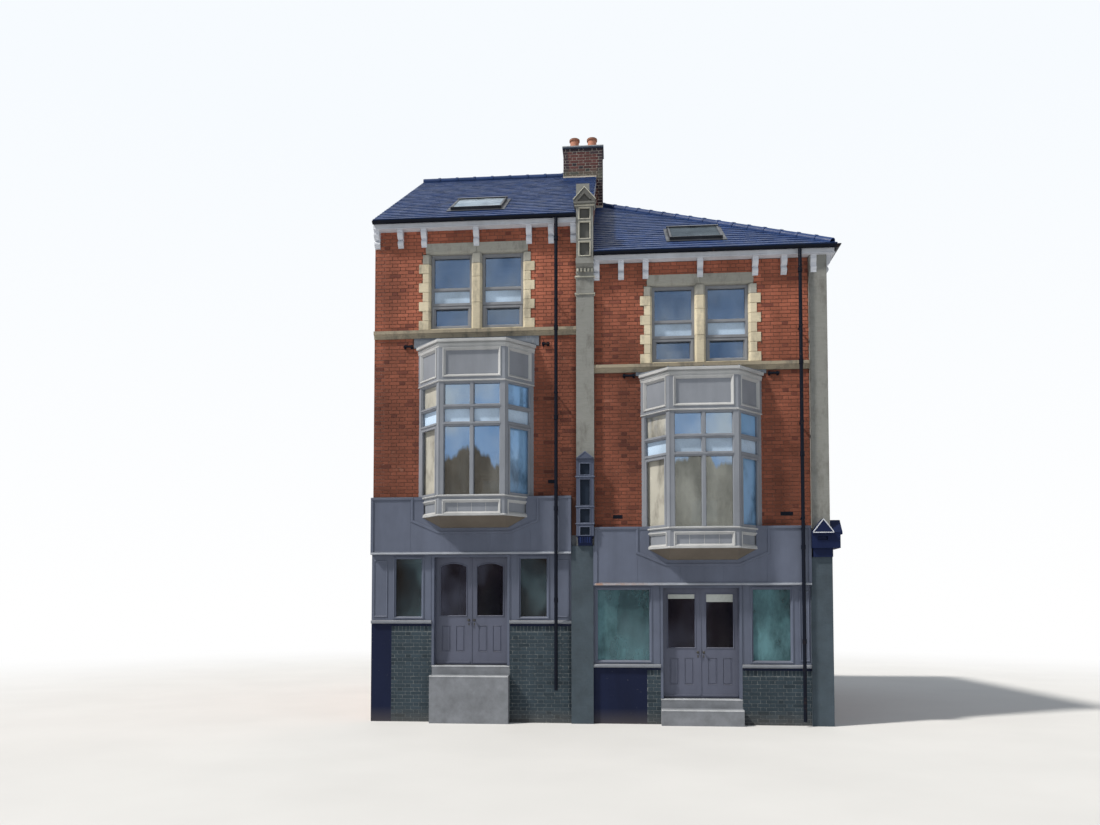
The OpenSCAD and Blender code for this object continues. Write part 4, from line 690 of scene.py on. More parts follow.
RECIPES = {
    "Pressed brick": pressed_brick,
    "Coursed brick": coursed_brick,
    "Bed mortar": bed_mortar,
    "Buff sandstone": lambda n: weathered_stone(n, "buff", 0.55),
    "Lintel sandstone": lambda n: weathered_stone(n, "lintel", 0.5),
    "String sandstone": lambda n: weathered_stone(n, "string", 0.85),
    "Pilaster render": pilaster_render,
    "Split slate": split_slate,
    "Chimney brick": sooted_brick,
    "Chimney mortar": lambda n: bed_mortar(n, "stack_joint"),
    "Lime fillet": lambda n: bed_mortar(n, "stack_joint"),
    "Oriel paint": lambda n: brushed_paint(n, "grey_paint"),
    "Oriel trim paint": lambda n: brushed_paint(n, "trim_paint"),
    "Oriel base paint": lambda n: brushed_paint(n, "oriel_base", dust=0.1),
    "Shopfront paint": lambda n: brushed_paint(n, "shop_paint"),
    "Door paint": lambda n: brushed_paint(n, "door_paint", (0.30, 0.46)),
    "Window grey paint": lambda n: brushed_paint(n, "window_paint"),
    "White eaves paint": lambda n: brushed_paint(n, "white_paint", (0.4, 0.6), 0.5),
    "Sash white paint": lambda n: brushed_paint(n, "sash_paint", (0.4, 0.6), 0.4),
    "Console paint": console_coat,
    "Console trim": lambda n: painted_masonry(n, "shop_paint", (0.35, 0.6)),
    "Navy render": lambda n: painted_masonry(n, "navy_paint", (0.40, 0.65)),
    "Riser paint": lambda n: painted_masonry(n, "riser_paint"),
    "Riser joints": lambda n: painted_masonry(n, "riser_joint", (0.5, 0.8), (0.50, 0.62)),
    "Cast iron": cast_iron,
    "Fired clay": fired_clay,
    "Sheet lead": sheet_lead,
    "Roof window metal": lambda n: sheet_lead(n, "roof_window", (0.3, 0.45), 0.12),
    "Step concrete": rough_concrete,
    "Cap concrete": cap_concrete,
    "Niche stone": lambda n: weathered_stone(n, "niche", 0.35),
    "Worn nosing": lambda n: rough_concrete(n, "nosing"),
    "Floor boards": floor_boards,
    "Window glass": window_glass,
    "Oriel glass": oriel_glass,
    "Door glass": door_glass,
    "Shop glass": shop_glass,
    "Skylight glass": skylight_glass,
    "Door metal": worn_metal,
    "Rusted ledge": rusted_ledge,
    "Woven blind": woven_blind,
    "Frosted glass": frosted_glass,
    "Frosted film": lambda n: frosted_glass(n, "film"),
}

NODE_FINISHES = {
    "Coursed brick": "party_walls",
    "Bed mortar": "front_walls rear_walls side_wall",
    "Step concrete": "shop_beams door_steps",
    "Cap concrete": "chimney_cap_slab",
    "Floor boards": "ground_floors upper_floors",
    "Split slate": "roof_front roof_rear roof_side ridge_and_hip_tiles",
    "Chimney mortar": "chimney_stack",
    "Fired clay": "chimney_pots",
    "Roof window metal": "skylight_frames",
    "White eaves paint": "eaves_boards eaves_brackets",
    "Cast iron": "gutters downpipes",
    "Buff sandstone": "window_surrounds plain_stones",
    "String sandstone": "string_courses",
    "Window grey paint": "upper_window_frames",
    "Sash white paint": "side_window_frames",
    "Window glass": "window_glass",
    "Oriel glass": "oriel_glass",
    "Door glass": "door_glass_1 door_glass_2 door_glass_3 door_glass_4",
    "Shop glass": "shop_glass",
    "Oriel base paint": "oriel_bases",
    "Oriel paint": "oriel_frame_left oriel_frame_right oriel_panels oriel_roofs",
    "Shopfront paint": "shop_fascias shopfront_posts shopfront_rails shop_sills",
    "Door paint": "door_leaf_1 door_leaf_2 door_leaf_3 door_leaf_4",
    "Navy render": "stall_risers",
    "Pilaster render": "middle_pilaster corner_pilaster",
    "Console paint": "consoles",
}


def finish(name):
    """The material of that name, mixed the first time it is asked for"""
    return bpy.data.materials.get(name) or RECIPES[name](name)


class Plane:
    """A flat face of the building: u along it, z or v up it and out of it, seen from outside"""

    def __init__(self, origin, along, up=UP):
        self.origin, self.along, self.up = Vector(origin), Vector(along).normalized(), Vector(up).normalized()
        self.out = self.along.cross(self.up)

    def at(self, u, v, out=0.0):
        """The point u along the plane, v up it and out from it"""
        return self.origin + self.along * u + self.up * v + self.out * out


FRONT = Plane((0, 0, 0), (1, 0, 0))
SIDE = Plane((END_X[1], 0, 0), (0, 1, 0))
REAR = Plane((0, DEPTH, 0), (-1, 0, 0))


def bay_faces(u):
    """Front, right cant and left cant of a unit's oriel, each with its length"""
    x, turn = AXIS[u], math.sqrt(0.5)
    cant = BAY_OUT / turn
    return [(Plane((x - BAY_FRONT, -BAY_OUT, 0), (1, 0, 0)), 2 * BAY_FRONT, 2),
            (Plane((x + BAY_FRONT, -BAY_OUT, 0), (turn, turn, 0)), cant, 1),
            (Plane((x - BAY_HALF, 0, 0), (turn, -turn, 0)), cant, 1)]


def ring(x, y, z, radius, n=24):
    """Points of a level circle"""
    turn = [2 * math.pi * i / n for i in range(n)]
    return [(x + radius * math.cos(a), y + radius * math.sin(a), z) for a in turn]


class Piece:
    """Faces of one piece of the building; a tone of its own makes them all alike"""

    def __init__(self, seed, tone=None):
        self.points, self.faces, self.tones = [], [], []
        self.chance, self.tone = random.Random(seed), tone

    def add(self, points, faces, tone=None):
        """Adds faces in one tone: the one given, the piece's own or a random one"""
        start = len(self.points)
        self.points += [Vector(p) for p in points]
        self.faces += [[start + i for i in f] for f in faces]
        if tone is None:
            tone = self.chance.random() if self.tone is None else self.tone
        self.tones += [tone] * len(faces)

    def slab(self, plane, u, v, out, tone=None):
        """A block against a plane, given its spans along, up and out"""
        p = [plane.at(a, b, c) for c in out for b in v for a in u]
        self.add(p, [(0, 2, 3, 1), (4, 5, 7, 6), (0, 1, 5, 4), (2, 6, 7, 3), (0, 4, 6, 2), (1, 3, 7, 5)], tone)

    def block(self, x, y, z, tone=None):
        """An upright block, given its spans in x, y and z"""
        self.slab(FRONT, x, z, (-y[1], -y[0]), tone)

    def run(self, section, path, out, closed=False):
        """Sweeps a section of (side, proud) points along a flat path with mitred corners"""
        path, out, n = [Vector(p) for p in path], Vector(out).normalized(), len(path)
        points = []
        for i in range(n):
            after = path[(i + 1) % n] - path[i] if closed or i < n - 1 else None
            before = path[i] - path[i - 1] if closed or i > 0 else None
            a = (before or after).normalized().cross(out)
            b = (after or before).normalized().cross(out)
            mitre = (a + b).normalized()
            mitre /= max(0.3, mitre.dot(a))
            points += [path[i] + mitre * side + out * proud for side, proud in section]
        m = len(section)
        faces = [(i * m + j, i * m + (j + 1) % m, (i + 1) % n * m + (j + 1) % m, (i + 1) % n * m + j)
                 for i in range(n if closed else n - 1) for j in range(m)]
        if not closed:
            faces += [tuple(range(m - 1, -1, -1)), tuple(range((n - 1) * m, n * m))]
        self.add(points, faces)

    def belt(self, section, points, z):
        """Runs a section along level points (x, y)"""
        self.run(section, [(a, b, z) for a, b in points], UP)

    def trace(self, section, plane, points, closed=False, out=0.0):
        """Runs a section along points (u, v) of a plane"""
        self.run(section, [plane.at(a, b, out) for a, b in points], plane.out, closed)

    def frame(self, section, plane, u, v, out=0.0):
        """Runs a section round a rectangle of a plane, given its spans"""
        self.trace(section, plane, [(u[0], v[0]), (u[1], v[0]), (u[1], v[1]), (u[0], v[1])], True, out)

    def prism(self, low, high, tone=None):
        """Joins two copies of an outline, given as lists of points"""
        m = len(low)
        faces = [(j, (j + 1) % m, m + (j + 1) % m, m + j) for j in range(m)]
        self.add(list(low) + list(high), faces + [tuple(range(m - 1, -1, -1)), tuple(range(m, 2 * m))], tone)

    def build(self, name, coat, slot, body="building", stands_for=(), bevel=0.0, segments=2, solid=True,
              smooth=False):
        """Makes the object in its finish, and says what it rides on and stands for"""
        mesh = bpy.data.meshes.new(name)
        mesh.from_pydata([p + SHIFT for p in self.points], [], self.faces)
        tones = mesh.attributes.new("tone", "FLOAT", "FACE")
        tones.data.foreach_set("value", self.tones)
        if solid:
            tidy = bmesh.new()
            tidy.from_mesh(mesh)
            bmesh.ops.recalc_face_normals(tidy, faces=tidy.faces)
            tidy.to_mesh(mesh)
            tidy.free()
        if smooth:
            mesh.shade_smooth()
            mesh.set_sharp_from_angle(angle=math.radians(35))
        made = bpy.data.objects.new(name, mesh)
        bpy.context.scene.collection.objects.link(made)
        mesh.materials.append(finish(coat))
        if bevel:
            edge = made.modifiers.new("Worn edges", "BEVEL")
            edge.width, edge.segments, edge.limit_method = bevel, segments, "ANGLE"
            edge.angle_limit = math.radians(40)
        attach(made, body)
        if stands_for:
            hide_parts(*stands_for)
        return made


def cut_out(rects, hole):
    """What is left of upright rectangles (u0, u1, z0, z1) round a rectangular hole"""
    left, right, foot, head = hole
    kept = []
    for a, b, c, d in rects:
        if b <= left or a >= right or d <= foot or c >= head:
            kept.append((a, b, c, d))
            continue
        if a < left:
            kept.append((a, left, c, d))
        if b > right:
            kept.append((right, b, c, d))
        if c < foot:
            kept.append((max(a, left), min(b, right), c, foot))
        if d > head:
            kept.append((max(a, left), min(b, right), head, d))
    return kept


def brick_face(piece, plane, rect, proud, tone=None):
    """One brick's face with worn arrises"""
    a, b, c, d = rect
    e = min(0.003, (b - a) / 5, (d - c) / 5)
    p = [plane.at(a, c), plane.at(b, c), plane.at(b, d), plane.at(a, d)]
    q = [plane.at(a + e, c + e, proud), plane.at(b - e, c + e, proud),
         plane.at(b - e, d - e, proud), plane.at(a + e, d - e, proud)]
    piece.add(p + q, [(4, 5, 6, 7), (0, 1, 5, 4), (1, 2, 6, 5), (2, 3, 7, 6), (3, 0, 4, 7)], tone)


def lay_bricks(piece, plane, field, holes, bond="flemish", base=0.0):
    """Lays bricks over a rectangle of a plane, cut round its holes, in courses from a base"""
    size = bpy.context.scene.building_bricks
    stretcher, header = size.length + size.joint, size.header + size.joint
    left, right, foot, head = field
    usual, spread, burnt, uneven, sliver = 0.62, 0.17, 0.07, 0.0012, (0.018, 0.010)
    course = math.floor((foot - base) / size.course)
    while base + course * size.course < head - 0.01:
        z = base + course * size.course
        if bond == "garden":
            pattern, start = ([stretcher], (course % 2) * stretcher / 2) if course % 4 else ([header], 0.0)
        else:
            pattern = [stretcher, header]
            start = (course % 2) * (stretcher + header) / 2
        step = sum(pattern)
        u = math.floor((left - start) / step) * step + start
        i = 0
        while u < right:
            length = pattern[i % len(pattern)]
            rects = [(max(u, left), min(u + length - size.joint, right),
                      max(z, foot), min(z + size.course - size.joint, head))]
            for hole in holes:
                rects = cut_out(rects, hole)
            tone = min(1.0, max(0.0, piece.chance.gauss(usual, spread)))
            if piece.chance.random() < burnt:
                tone = piece.chance.random() * 0.2
            proud = size.proud + piece.chance.uniform(-uneven, uneven)
            for a, b, c, d in rects:
                if b - a > sliver[0] and d - c > sliver[1]:
                    brick_face(piece, plane, (a, b, c, d), proud, tone)
            u += length
            i += 1
        course += 1


def lay_slates(piece, plane, length, low_at, high_at, holes):
    """Lays slates up a roof slope between its two edges, cut round its holes"""
    size = bpy.context.scene.building_slates
    usual, spread, gap, thin, sliver = 0.42, 0.16, 0.003, 0.003, 0.02
    for row in range(math.ceil(length / size.gauge)):
        foot, head = row * size.gauge, min(length, (row + 1) * size.gauge)
        left, right = min(low_at(foot), low_at(head)), max(high_at(foot), high_at(head))
        u = math.floor(left / size.width) * size.width - (row % 2) * size.width / 2
        while u < right:
            a, b = u, u + size.width - gap
            u += size.width
            tone = min(1.0, max(0.0, piece.chance.gauss(usual, spread)))
            lift = size.lift + piece.chance.uniform(-0.002, 0.003)
            for c, d, e, f in slate_parts(a, b, foot, head, holes):
                p = [(max(c, low_at(e)), min(d, high_at(e))), (max(c, low_at(f)), min(d, high_at(f)))]
                if p[0][1] - p[0][0] < sliver or f - e < sliver:
                    continue
                p[1] = p[1] if p[1][1] > p[1][0] else (sum(p[1]) / 2, sum(p[1]) / 2 + 0.001)
                tail = lift - (e - foot) / size.gauge * (lift - thin)
                nose = max(thin, lift - (f - foot) / size.gauge * (lift - thin))
                points = [plane.at(p[0][0], e), plane.at(p[0][1], e), plane.at(p[0][0], e, tail),
                          plane.at(p[0][1], e, tail), plane.at(p[1][0], f, nose), plane.at(p[1][1], f, nose),
                          plane.at(p[1][0], f), plane.at(p[1][1], f)]
                piece.add(points, [(0, 1, 3, 2), (2, 3, 5, 4), (0, 2, 4, 6), (1, 7, 5, 3)], tone)


def slate_parts(a, b, foot, head, holes):
    """A slate's rectangle, cut round the slope's holes"""
    rects = [(a, b, foot, head)]
    for hole in holes:
        rects = cut_out(rects, hole)
    return rects


def window_spans(u):
    """Stone of a pair of lights, as holes in the brick face"""
    x, low = AXIS[u], LINTEL[u]
    spans = [(x - WALL_STONE, x + WALL_STONE, STRING[u] - STRING_H, low),
             (x - LINTEL_HALF, x + LINTEL_HALF, low - 0.01, low + LINTEL_H)]
    for i in range(0, 8, 2):
        z = STRING[u] + i * STONE_COURSE
        spans.append((x - WALL_STONE - TOOTH, x + WALL_STONE + TOOTH, z, z + STONE_COURSE))
    return spans


def plain_spans(centre, floor):
    """A side or rear window with its sill and lintel, as holes in the brick face"""
    half, stone, rise = PLAIN_W / 2, PLAIN_W / 2 + 0.12, 0.14
    foot, head = floor + PLAIN_SILL, floor + PLAIN_SILL + PLAIN_H
    return [(centre - half, centre + half, foot, head), (centre - stone, centre + stone, foot - rise, foot),
            (centre - stone, centre + stone, head, head + rise)]


class BUILDING_OT_finishes(bpy.types.Operator):
    """Gives every part of the frame its finish"""
    bl_idname = "building.finishes"
    bl_label = "Finish the frame"

    def execute(self, context):
        coats = {name: coat for coat, names in NODE_FINISHES.items() for name in names.split()}
        for name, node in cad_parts.items():
            coat = finish(coats[name])
            if not node.material_slots:
                node.data.materials.append(coat)
            for place in node.material_slots:
                place.material = coat
        return {"FINISHED"}


class BUILDING_OT_front_bricks(bpy.types.Operator):
    """Lays the front's red bricks in Flemish bond round the oriels and windows"""
    bl_idname = "building.front_bricks"
    bl_label = "Lay the front's bricks"

    def execute(self, context):
        for u, name in ((LEFT, "front_bricks_left"), (RIGHT, "front_bricks_right")):
            wall = Piece(11 + u)
            x, (left, right), string = AXIS[u], FACE_X[u], STRING[u] - STRING_H
            roof = BAY[u] + BAY_TOP + 0.120
            holes = window_spans(u) + [(x - BAY_HALF + 0.02, x + BAY_HALF - 0.02, BAY[u], roof),
                                       (x - 1.33, x + 1.33, roof, string), (left, right, string, STRING[u])]
            lay_bricks(wall, FRONT, (left, right, FASCIA_TOP[u], SOFFIT[u]), holes)
            wall.build(name, "Pressed brick", "brick", solid=False)
        return {"FINISHED"}


class BUILDING_OT_side_bricks(bpy.types.Operator):
    """Lays the side and rear walls' bricks in garden wall bond"""
    bl_idname = "building.side_bricks"
    bl_label = "Lay the side and rear bricks"

    def execute(self, context):
        wall = Piece(21)
        pier = (0.0, 0.275, 0.0, CORNER_CONSOLE_Z)
        holes = [h for y in SIDE_Y for z in (FIRST[RIGHT], SECOND[RIGHT]) for h in plain_spans(y, z)]
        lay_bricks(wall, SIDE, (0.24, DEPTH, 0.0, SOFFIT[RIGHT]), holes + [pier], "garden")
        wall.build("side_bricks", "Pressed brick", "brick", solid=False)
        wall = Piece(22)
        for u, left, right in ((LEFT, -PARTY, -END_X[0]), (RIGHT, -END_X[1], -PARTY)):
            holes = [h for x in rear_x(u) for z in (FIRST[u], SECOND[u]) for h in plain_spans(-x, z)]
            lay_bricks(wall, REAR, (left, right, 0.0, SOFFIT[u]), holes, "garden")
        wall.build("rear_bricks", "Pressed brick", "brick", solid=False)
        return {"FINISHED"}


class BUILDING_OT_chimney(bpy.types.Operator):
    """Lays the chimney's bricks and adds its flaunching, the pots' rims and the fillets on the slates"""
    bl_idname = "building.chimney"
    bl_label = "Brick the chimney"

    def execute(self, context):
        stack = Piece(31)
        (x0, x1), (y0, y1) = CHIMNEY_X, CHIMNEY_Y
        x, y, width, depth = (x0 + x1) / 2, (y0 + y1) / 2, x1 - x0, y1 - y0
        front, right = Plane((x0, y0, 0), (1, 0, 0)), Plane((x1, y0, 0), (0, 1, 0))
        rear, left = Plane((x1, y1, 0), (-1, 0, 0)), Plane((x0, y1, 0), (0, -1, 0))
        for plane, length in ((front, width), (right, depth), (rear, width), (left, depth)):
            lay_bricks(stack, plane, (0.0, length, EAVE[RIGHT] + RIDGE - 1.0, CHIMNEY_TOP), [], base=CHIMNEY_TOP)
        stack.build("chimney_bricks", "Chimney brick", "brick", solid=False)
        cap, rims = Piece(32, EVEN), Piece(34, EVEN)
        roll = [(-0.012, -0.007), (0.002, -0.006), (0.0025, 0.0), (0.002, 0.006), (-0.012, 0.007)]
        for pot in (x - 0.225, x + 0.225):
            cap.prism(ring(pot, y, CHIMNEY_TOP + 0.058, 0.20), ring(pot, y, CHIMNEY_TOP + 0.105, 0.138))
            for z, radius in ((0.352, 0.132), (0.322, 0.1315), (0.090, 0.137)):
                rims.run(roll, ring(pot, y, CHIMNEY_TOP + z, radius), UP, True)
        corners = [(a, b, CHIMNEY_TOP - 0.010) for a, b in ((x0, y0), (x1, y0), (x1, y1), (x0, y1))]
        cap.run([(-0.01, 0.0), (0.010, 0.0), (0.012, 0.010), (-0.01, 0.010)], corners, UP, True)
        cap.build("chimney_flaunching", "Cap concrete", "concrete", smooth=True)
        rims.build("chimney_pot_rims", "Fired clay", "terracotta", smooth=True)
        fillets = Piece(33, EVEN)
        slope, party, past, step = math.tan(PITCH), 0.835, 0.008, 0.130
        for plane, high, low in ((front, (-past, party), (party, width + past)),
                                 (rear, (width - party, width + past), (-past, width - party))):
            for span, eave in ((high, EAVE[LEFT]), (low, EAVE[RIGHT])):
                z = eave + (CHIMNEY_Y[0] + OVER) * slope
                fillets.slab(plane, span, (z - 0.02, z + 0.040), (0.0, 0.012))
        for plane, eave in ((right, EAVE[RIGHT]), (left, EAVE[LEFT])):
            for k in range(4):
                u = k * step
                z = eave + RIDGE - abs(u + step / 2 - depth / 2) * slope
                fillets.slab(plane, (u - 0.005, u + 0.140), (z - 0.10, z + 0.070), (0.0, 0.010))
        fillets.build("chimney_flashing", "Lime fillet", "roof_window_metal", bevel=0.003)
        return {"FINISHED"}


def roof_slopes():
    """Each roof slope: name, plane, length up it, its two edges and its holes"""
    deep, wide = DEPTH / 2 + OVER, TIP_X - PEAK_X
    reach, side_reach = deep / math.cos(PITCH), wide / math.cos(SIDE_PITCH)
    up_front, up_rear = (0, math.cos(PITCH), math.sin(PITCH)), (0, -math.cos(PITCH), math.sin(PITCH))
    up_side = (-math.cos(SIDE_PITCH), 0, math.sin(SIDE_PITCH))
    verge, abutment, past = 0.145, 0.12, 9
    stack = (CHIMNEY_Y[0] + OVER) / math.cos(PITCH) - 0.03
    stack_x = (CHIMNEY_X[0] - 0.02, CHIMNEY_X[1] + 0.02)

    def hip(v):
        """Where a hip crosses the front slope"""
        return TIP_X - wide * v / reach

    def side_hip(v):
        """Where a hip crosses the side slope"""
        return deep * v / side_reach

    sky = [(DOOR_X[u] - 0.60, DOOR_X[u] + 0.60, SKYLIGHT_UP[u] - 0.10, SKYLIGHT_UP[u] + SKYLIGHT_L + 0.05)
           for u in (LEFT, RIGHT)]
    notch = OVER / math.cos(PITCH)
    block = (-0.20, 0.105, 0.0, notch + 0.33)
    peak = (deep - 0.30, deep + 0.30, side_reach - 0.12, past)
    return [
        ("roof_slates_front_left", Plane((0, -OVER, EAVE[LEFT]), (1, 0, 0), up_front), reach,
         lambda v: END_X[0], lambda v: verge,
         [sky[LEFT], block, (stack_x[0], past, stack, past), (-PILASTER, past, 0, notch)]),
        ("roof_slates_front_right", Plane((0, -OVER, EAVE[RIGHT]), (1, 0, 0), up_front), reach,
         lambda v: abutment, hip, [sky[RIGHT], (0, PILASTER, 0, notch), (0, stack_x[1], stack, past)]),
        ("roof_slates_rear_left", Plane((0, DEPTH + OVER, EAVE[LEFT]), (-1, 0, 0), up_rear), reach,
         lambda v: -verge, lambda v: -END_X[0], [(-past, -stack_x[0], stack, past)]),
        ("roof_slates_rear_right", Plane((0, DEPTH + OVER, EAVE[RIGHT]), (-1, 0, 0), up_rear), reach,
         lambda v: -hip(v), lambda v: -abutment, [(-stack_x[1], 0, stack, past)]),
        ("roof_slates_side", Plane((TIP_X, -OVER, EAVE[RIGHT]), (0, 1, 0), up_side), side_reach,
         side_hip, lambda v: DEPTH + 2 * OVER - side_hip(v), [peak])]


class BUILDING_OT_slates(bpy.types.Operator):
    """Lays the slates of all five slopes in half bond"""
    bl_idname = "building.slates"
    bl_label = "Lay the slates"

    def execute(self, context):
        for i, (name, plane, length, low_at, high_at, holes) in enumerate(roof_slopes()):
            slope = Piece(41 + i)
            lay_slates(slope, plane, length, low_at, high_at, holes)
            slope.build(name, "Split slate", "slate", solid=False)
        return {"FINISHED"}


def cap_tile(piece, start, end, tone):
    """A round ridge or hip tile with a thicker collar at its upper end"""
    along = (end - start).normalized()
    across = along.cross(UP).normalized()
    up = across.cross(along)
    arc = [math.radians(a) for a in range(-18, 199, 18)]
    rings = ((0, 0.088), (0.86, 0.088), (0.87, 0.099), (1, 0.099), (1, 0.084), (0, 0.070))
    points = [start.lerp(end, t) + (across * math.cos(a) + up * math.sin(a)) * r for t, r in rings for a in arc]
    n, m = len(rings), len(arc)
    faces = [(i * m + j, i * m + j + 1, (i + 1) % n * m + j + 1, (i + 1) % n * m + j)
             for i in range(n) for j in range(m - 1)]
    piece.add(points, faces, tone)


class BUILDING_OT_ridge_tiles(bpy.types.Operator):
    """Beds the ridge and hip tiles one by one"""
    bl_idname = "building.ridge_tiles"
    bl_label = "Bed the ridge and hip tiles"

    def execute(self, context):
        tiles, sunk, length = Piece(51), 0.01, 0.45
        ridge = [Vector((x, DEPTH / 2, EAVE[LEFT] + RIDGE - sunk)) for x in (END_X[0], CHIMNEY_X[0] + 0.01)]
        peak = Vector((PEAK_X, DEPTH / 2, EAVE[RIGHT] + RIDGE - sunk))
        runs = [ridge]
        for y in (-OVER, DEPTH + OVER):
            foot = Vector((TIP_X, y, EAVE[RIGHT] - sunk))
            runs.append((foot.lerp(peak, 0.017), foot.lerp(peak, 0.985)))
        for start, end in runs:
            n = round((end - start).length / length)
            for i in range(n):
                cap_tile(tiles, start.lerp(end, i / n), start.lerp(end, (i + 0.985) / n),
                         tiles.chance.uniform(0.15, 0.7))
        tiles.build("ridge_and_hip_tiles_bedded", "Split slate", "slate", stands_for=("ridge_and_hip_tiles",),
                    smooth=True)
        return {"FINISHED"}


class BUILDING_OT_skylights(bpy.types.Operator):
    """Adds the skylights' sashes, hoods, panes and flashing aprons"""
    bl_idname = "building.skylights"
    bl_label = "Dress the skylights"

    def execute(self, context):
        metal, aprons, lid = Piece(61, EVEN), Piece(62, EVEN), Piece(63)
        up, half, wide = (0, math.cos(PITCH), math.sin(PITCH)), 0.545, 0.62
        rail = [(0.0, 0.0), (-0.045, 0.0), (-0.045, 0.012), (-0.025, 0.020), (0.0, 0.020)]
        for u in (LEFT, RIGHT):
            plane = Plane((DOOR_X[u], -OVER, EAVE[u]), (1, 0, 0), up)
            foot, head = SKYLIGHT_UP[u], SKYLIGHT_UP[u] + SKYLIGHT_L
            metal.frame(rail, plane, (-half, half), (foot, head), 0.058)
            metal.slab(plane, (-0.56, 0.56), (head - 0.06, head + 0.03), (0.05, 0.092), 0.4)
            lid.slab(plane, (-0.495, 0.495), (foot + 0.05, head - 0.065), (0.0605, 0.0665))
            for side in (-1, 1):
                aprons.slab(plane, sorted((side * half, side * wide)), (foot - 0.02, head + 0.05), (0.012, 0.024))
            aprons.slab(plane, (-wide, wide), (foot - 0.15, foot + 0.005), (0.014, 0.022))
            aprons.slab(plane, (-wide, wide), (head - 0.005, head + 0.07), (0.012, 0.026))
        metal.build("skylight_sashes", "Roof window metal", "roof_window_metal", bevel=0.004)
        lid.build("skylight_panes", "Skylight glass", "clear_glass")
        aprons.build("skylight_flashings", "Roof window metal", "roof_window_metal", bevel=0.003)
        return {"FINISHED"}


class BUILDING_OT_eaves(bpy.types.Operator):
    """Adds the gutter's brackets and unions and the eaves boards' beads"""
    bl_idname = "building.eaves"
    bl_label = "Dress the eaves"

    def execute(self, context):
        iron, beads = Piece(71, EVEN), Piece(72, EVEN)
        arc = [math.radians(a) for a in range(180, 361, 20)]
        axis, inside, edge = BOARD_OUT + GUTTER_R, 0.053, -0.0549

        def stirrup(plane, u, z, width, radius):
            """A band round the gutter, cut off at the gutter's own edge"""
            outer = [(axis - max(radius * math.cos(a), edge), radius * math.sin(a)) for a in arc]
            inner = [(axis - inside * math.cos(a), inside * math.sin(a)) for a in reversed(arc)]
            iron.prism(*[[plane.at(at, z + b, a) for a, b in outer + inner] for at in (u, u + width)])

        for plane, spans in ((FRONT, ((LEFT, END_X[0], -PILASTER), (RIGHT, PILASTER, TIP_X))),
                             (SIDE, ((RIGHT, -OVER, DEPTH + OVER),)),
                             (REAR, ((LEFT, 0.0, -END_X[0]), (RIGHT, -TIP_X, -0.12)))):
            for u, a, b in spans:
                z, stays, unions = EAVE[u] - 0.035, round((b - a) / 0.9), round((b - a) / 1.8)
                for i in range(stays):
                    at = a + (i + 0.5) * (b - a) / stays
                    stirrup(plane, at, z, 0.025, 0.0555)
                    iron.slab(plane, (at, at + 0.025), (z - 0.02, z + 0.012), (BOARD_OUT - 0.004, BOARD_OUT + 0.006))
                for i in range(1, max(2, unions)):
                    stirrup(plane, a + i * (b - a) / unions - 0.04, z, 0.08, 0.0548)
        iron.build("gutter_brackets", "Cast iron", "black_iron", bevel=0.0015, segments=1)
        bead = [(-0.004, 0.0), (-0.004, 0.020), (0.002, 0.026), (0.010, 0.026), (0.014, 0.020), (0.014, 0.0)]
        front, side, back = -BOARD_OUT, END_X[1] + BOARD_OUT, DEPTH + BOARD_OUT
        beads.belt(bead, [(END_X[0], front), (-PILASTER, front)], SOFFIT[LEFT])
        beads.belt(bead, [(PILASTER, front), (side, front), (side, back), (PARTY, back)], SOFFIT[RIGHT])
        beads.build("eaves_beads", "White eaves paint", "white_paint", smooth=True)
        return {"FINISHED"}


class BUILDING_OT_window_stones(bpy.types.Operator):
    """Cuts the jambs, mullions and lintels of the upper windows as separate stones"""
    bl_idname = "building.window_stones"
    bl_label = "Set the window stones"

    def execute(self, context):
        stones, lintels = Piece(81), Piece(82)
        out, back, chamfer, gap, half = 0.018, -0.092, 0.038, 0.003, MULLION / 2

        def upright(piece, plan, foot, head):
            """A stone over a plan (x, out)"""
            piece.prism(*[[FRONT.at(a, z, b) for a, b in plan] for z in (foot, head)])

        for u in (LEFT, RIGHT):
            x, z = AXIS[u], STRING[u]
            for i in range(8):
                foot, head = z + i * STONE_COURSE, z + (i + 1) * STONE_COURSE
                wide = TOOTH if i % 2 == 0 else 0.0
                for s in (-1, 1):
                    outer, inner = x + s * (WALL_STONE + wide), x + s * (half + LIGHT_W)
                    plan = [(outer, back), (outer, out), (inner + s * chamfer, out), (inner, out - chamfer),
                            (inner, back)]
                    upright(stones if i < 7 else lintels, plan, foot + gap, min(head, LINTEL[u]) - gap)
            for foot, head in ((0.0, 0.56), (0.56, 1.10), (1.10, 1.3825), (1.3825, 1.595)):
                plan = [(x - half, back), (x - half, out - chamfer), (x - half + chamfer, out),
                        (x + half - chamfer, out), (x + half, out - chamfer), (x + half, back)]
                upright(stones if head < 1.5 else lintels, plan, z + foot + gap, z + head - gap)
            for s in (-1, 1):
                section = [(back, 0.0), (out - chamfer, 0.0), (out, chamfer), (out, LINTEL_H), (back, LINTEL_H)]
                span = sorted((x + s * gap, x + s * LINTEL_HALF))
                lintels.prism(*[[FRONT.at(end, LINTEL[u] + b, a) for a, b in section] for end in span])
                stones.slab(FRONT, sorted((x + s * 0.11, x + s * 0.96)), (z, LIGHT[u] + 0.004), (back, 0.02))
        stones.build("window_jamb_stones", "Buff sandstone", "buff_stone", stands_for=("window_surrounds",),
                     bevel=0.004)
        lintels.build("window_lintel_stones", "Lintel sandstone", "buff_stone", stands_for=("window_surrounds",),
                      bevel=0.004)
        return {"FINISHED"}


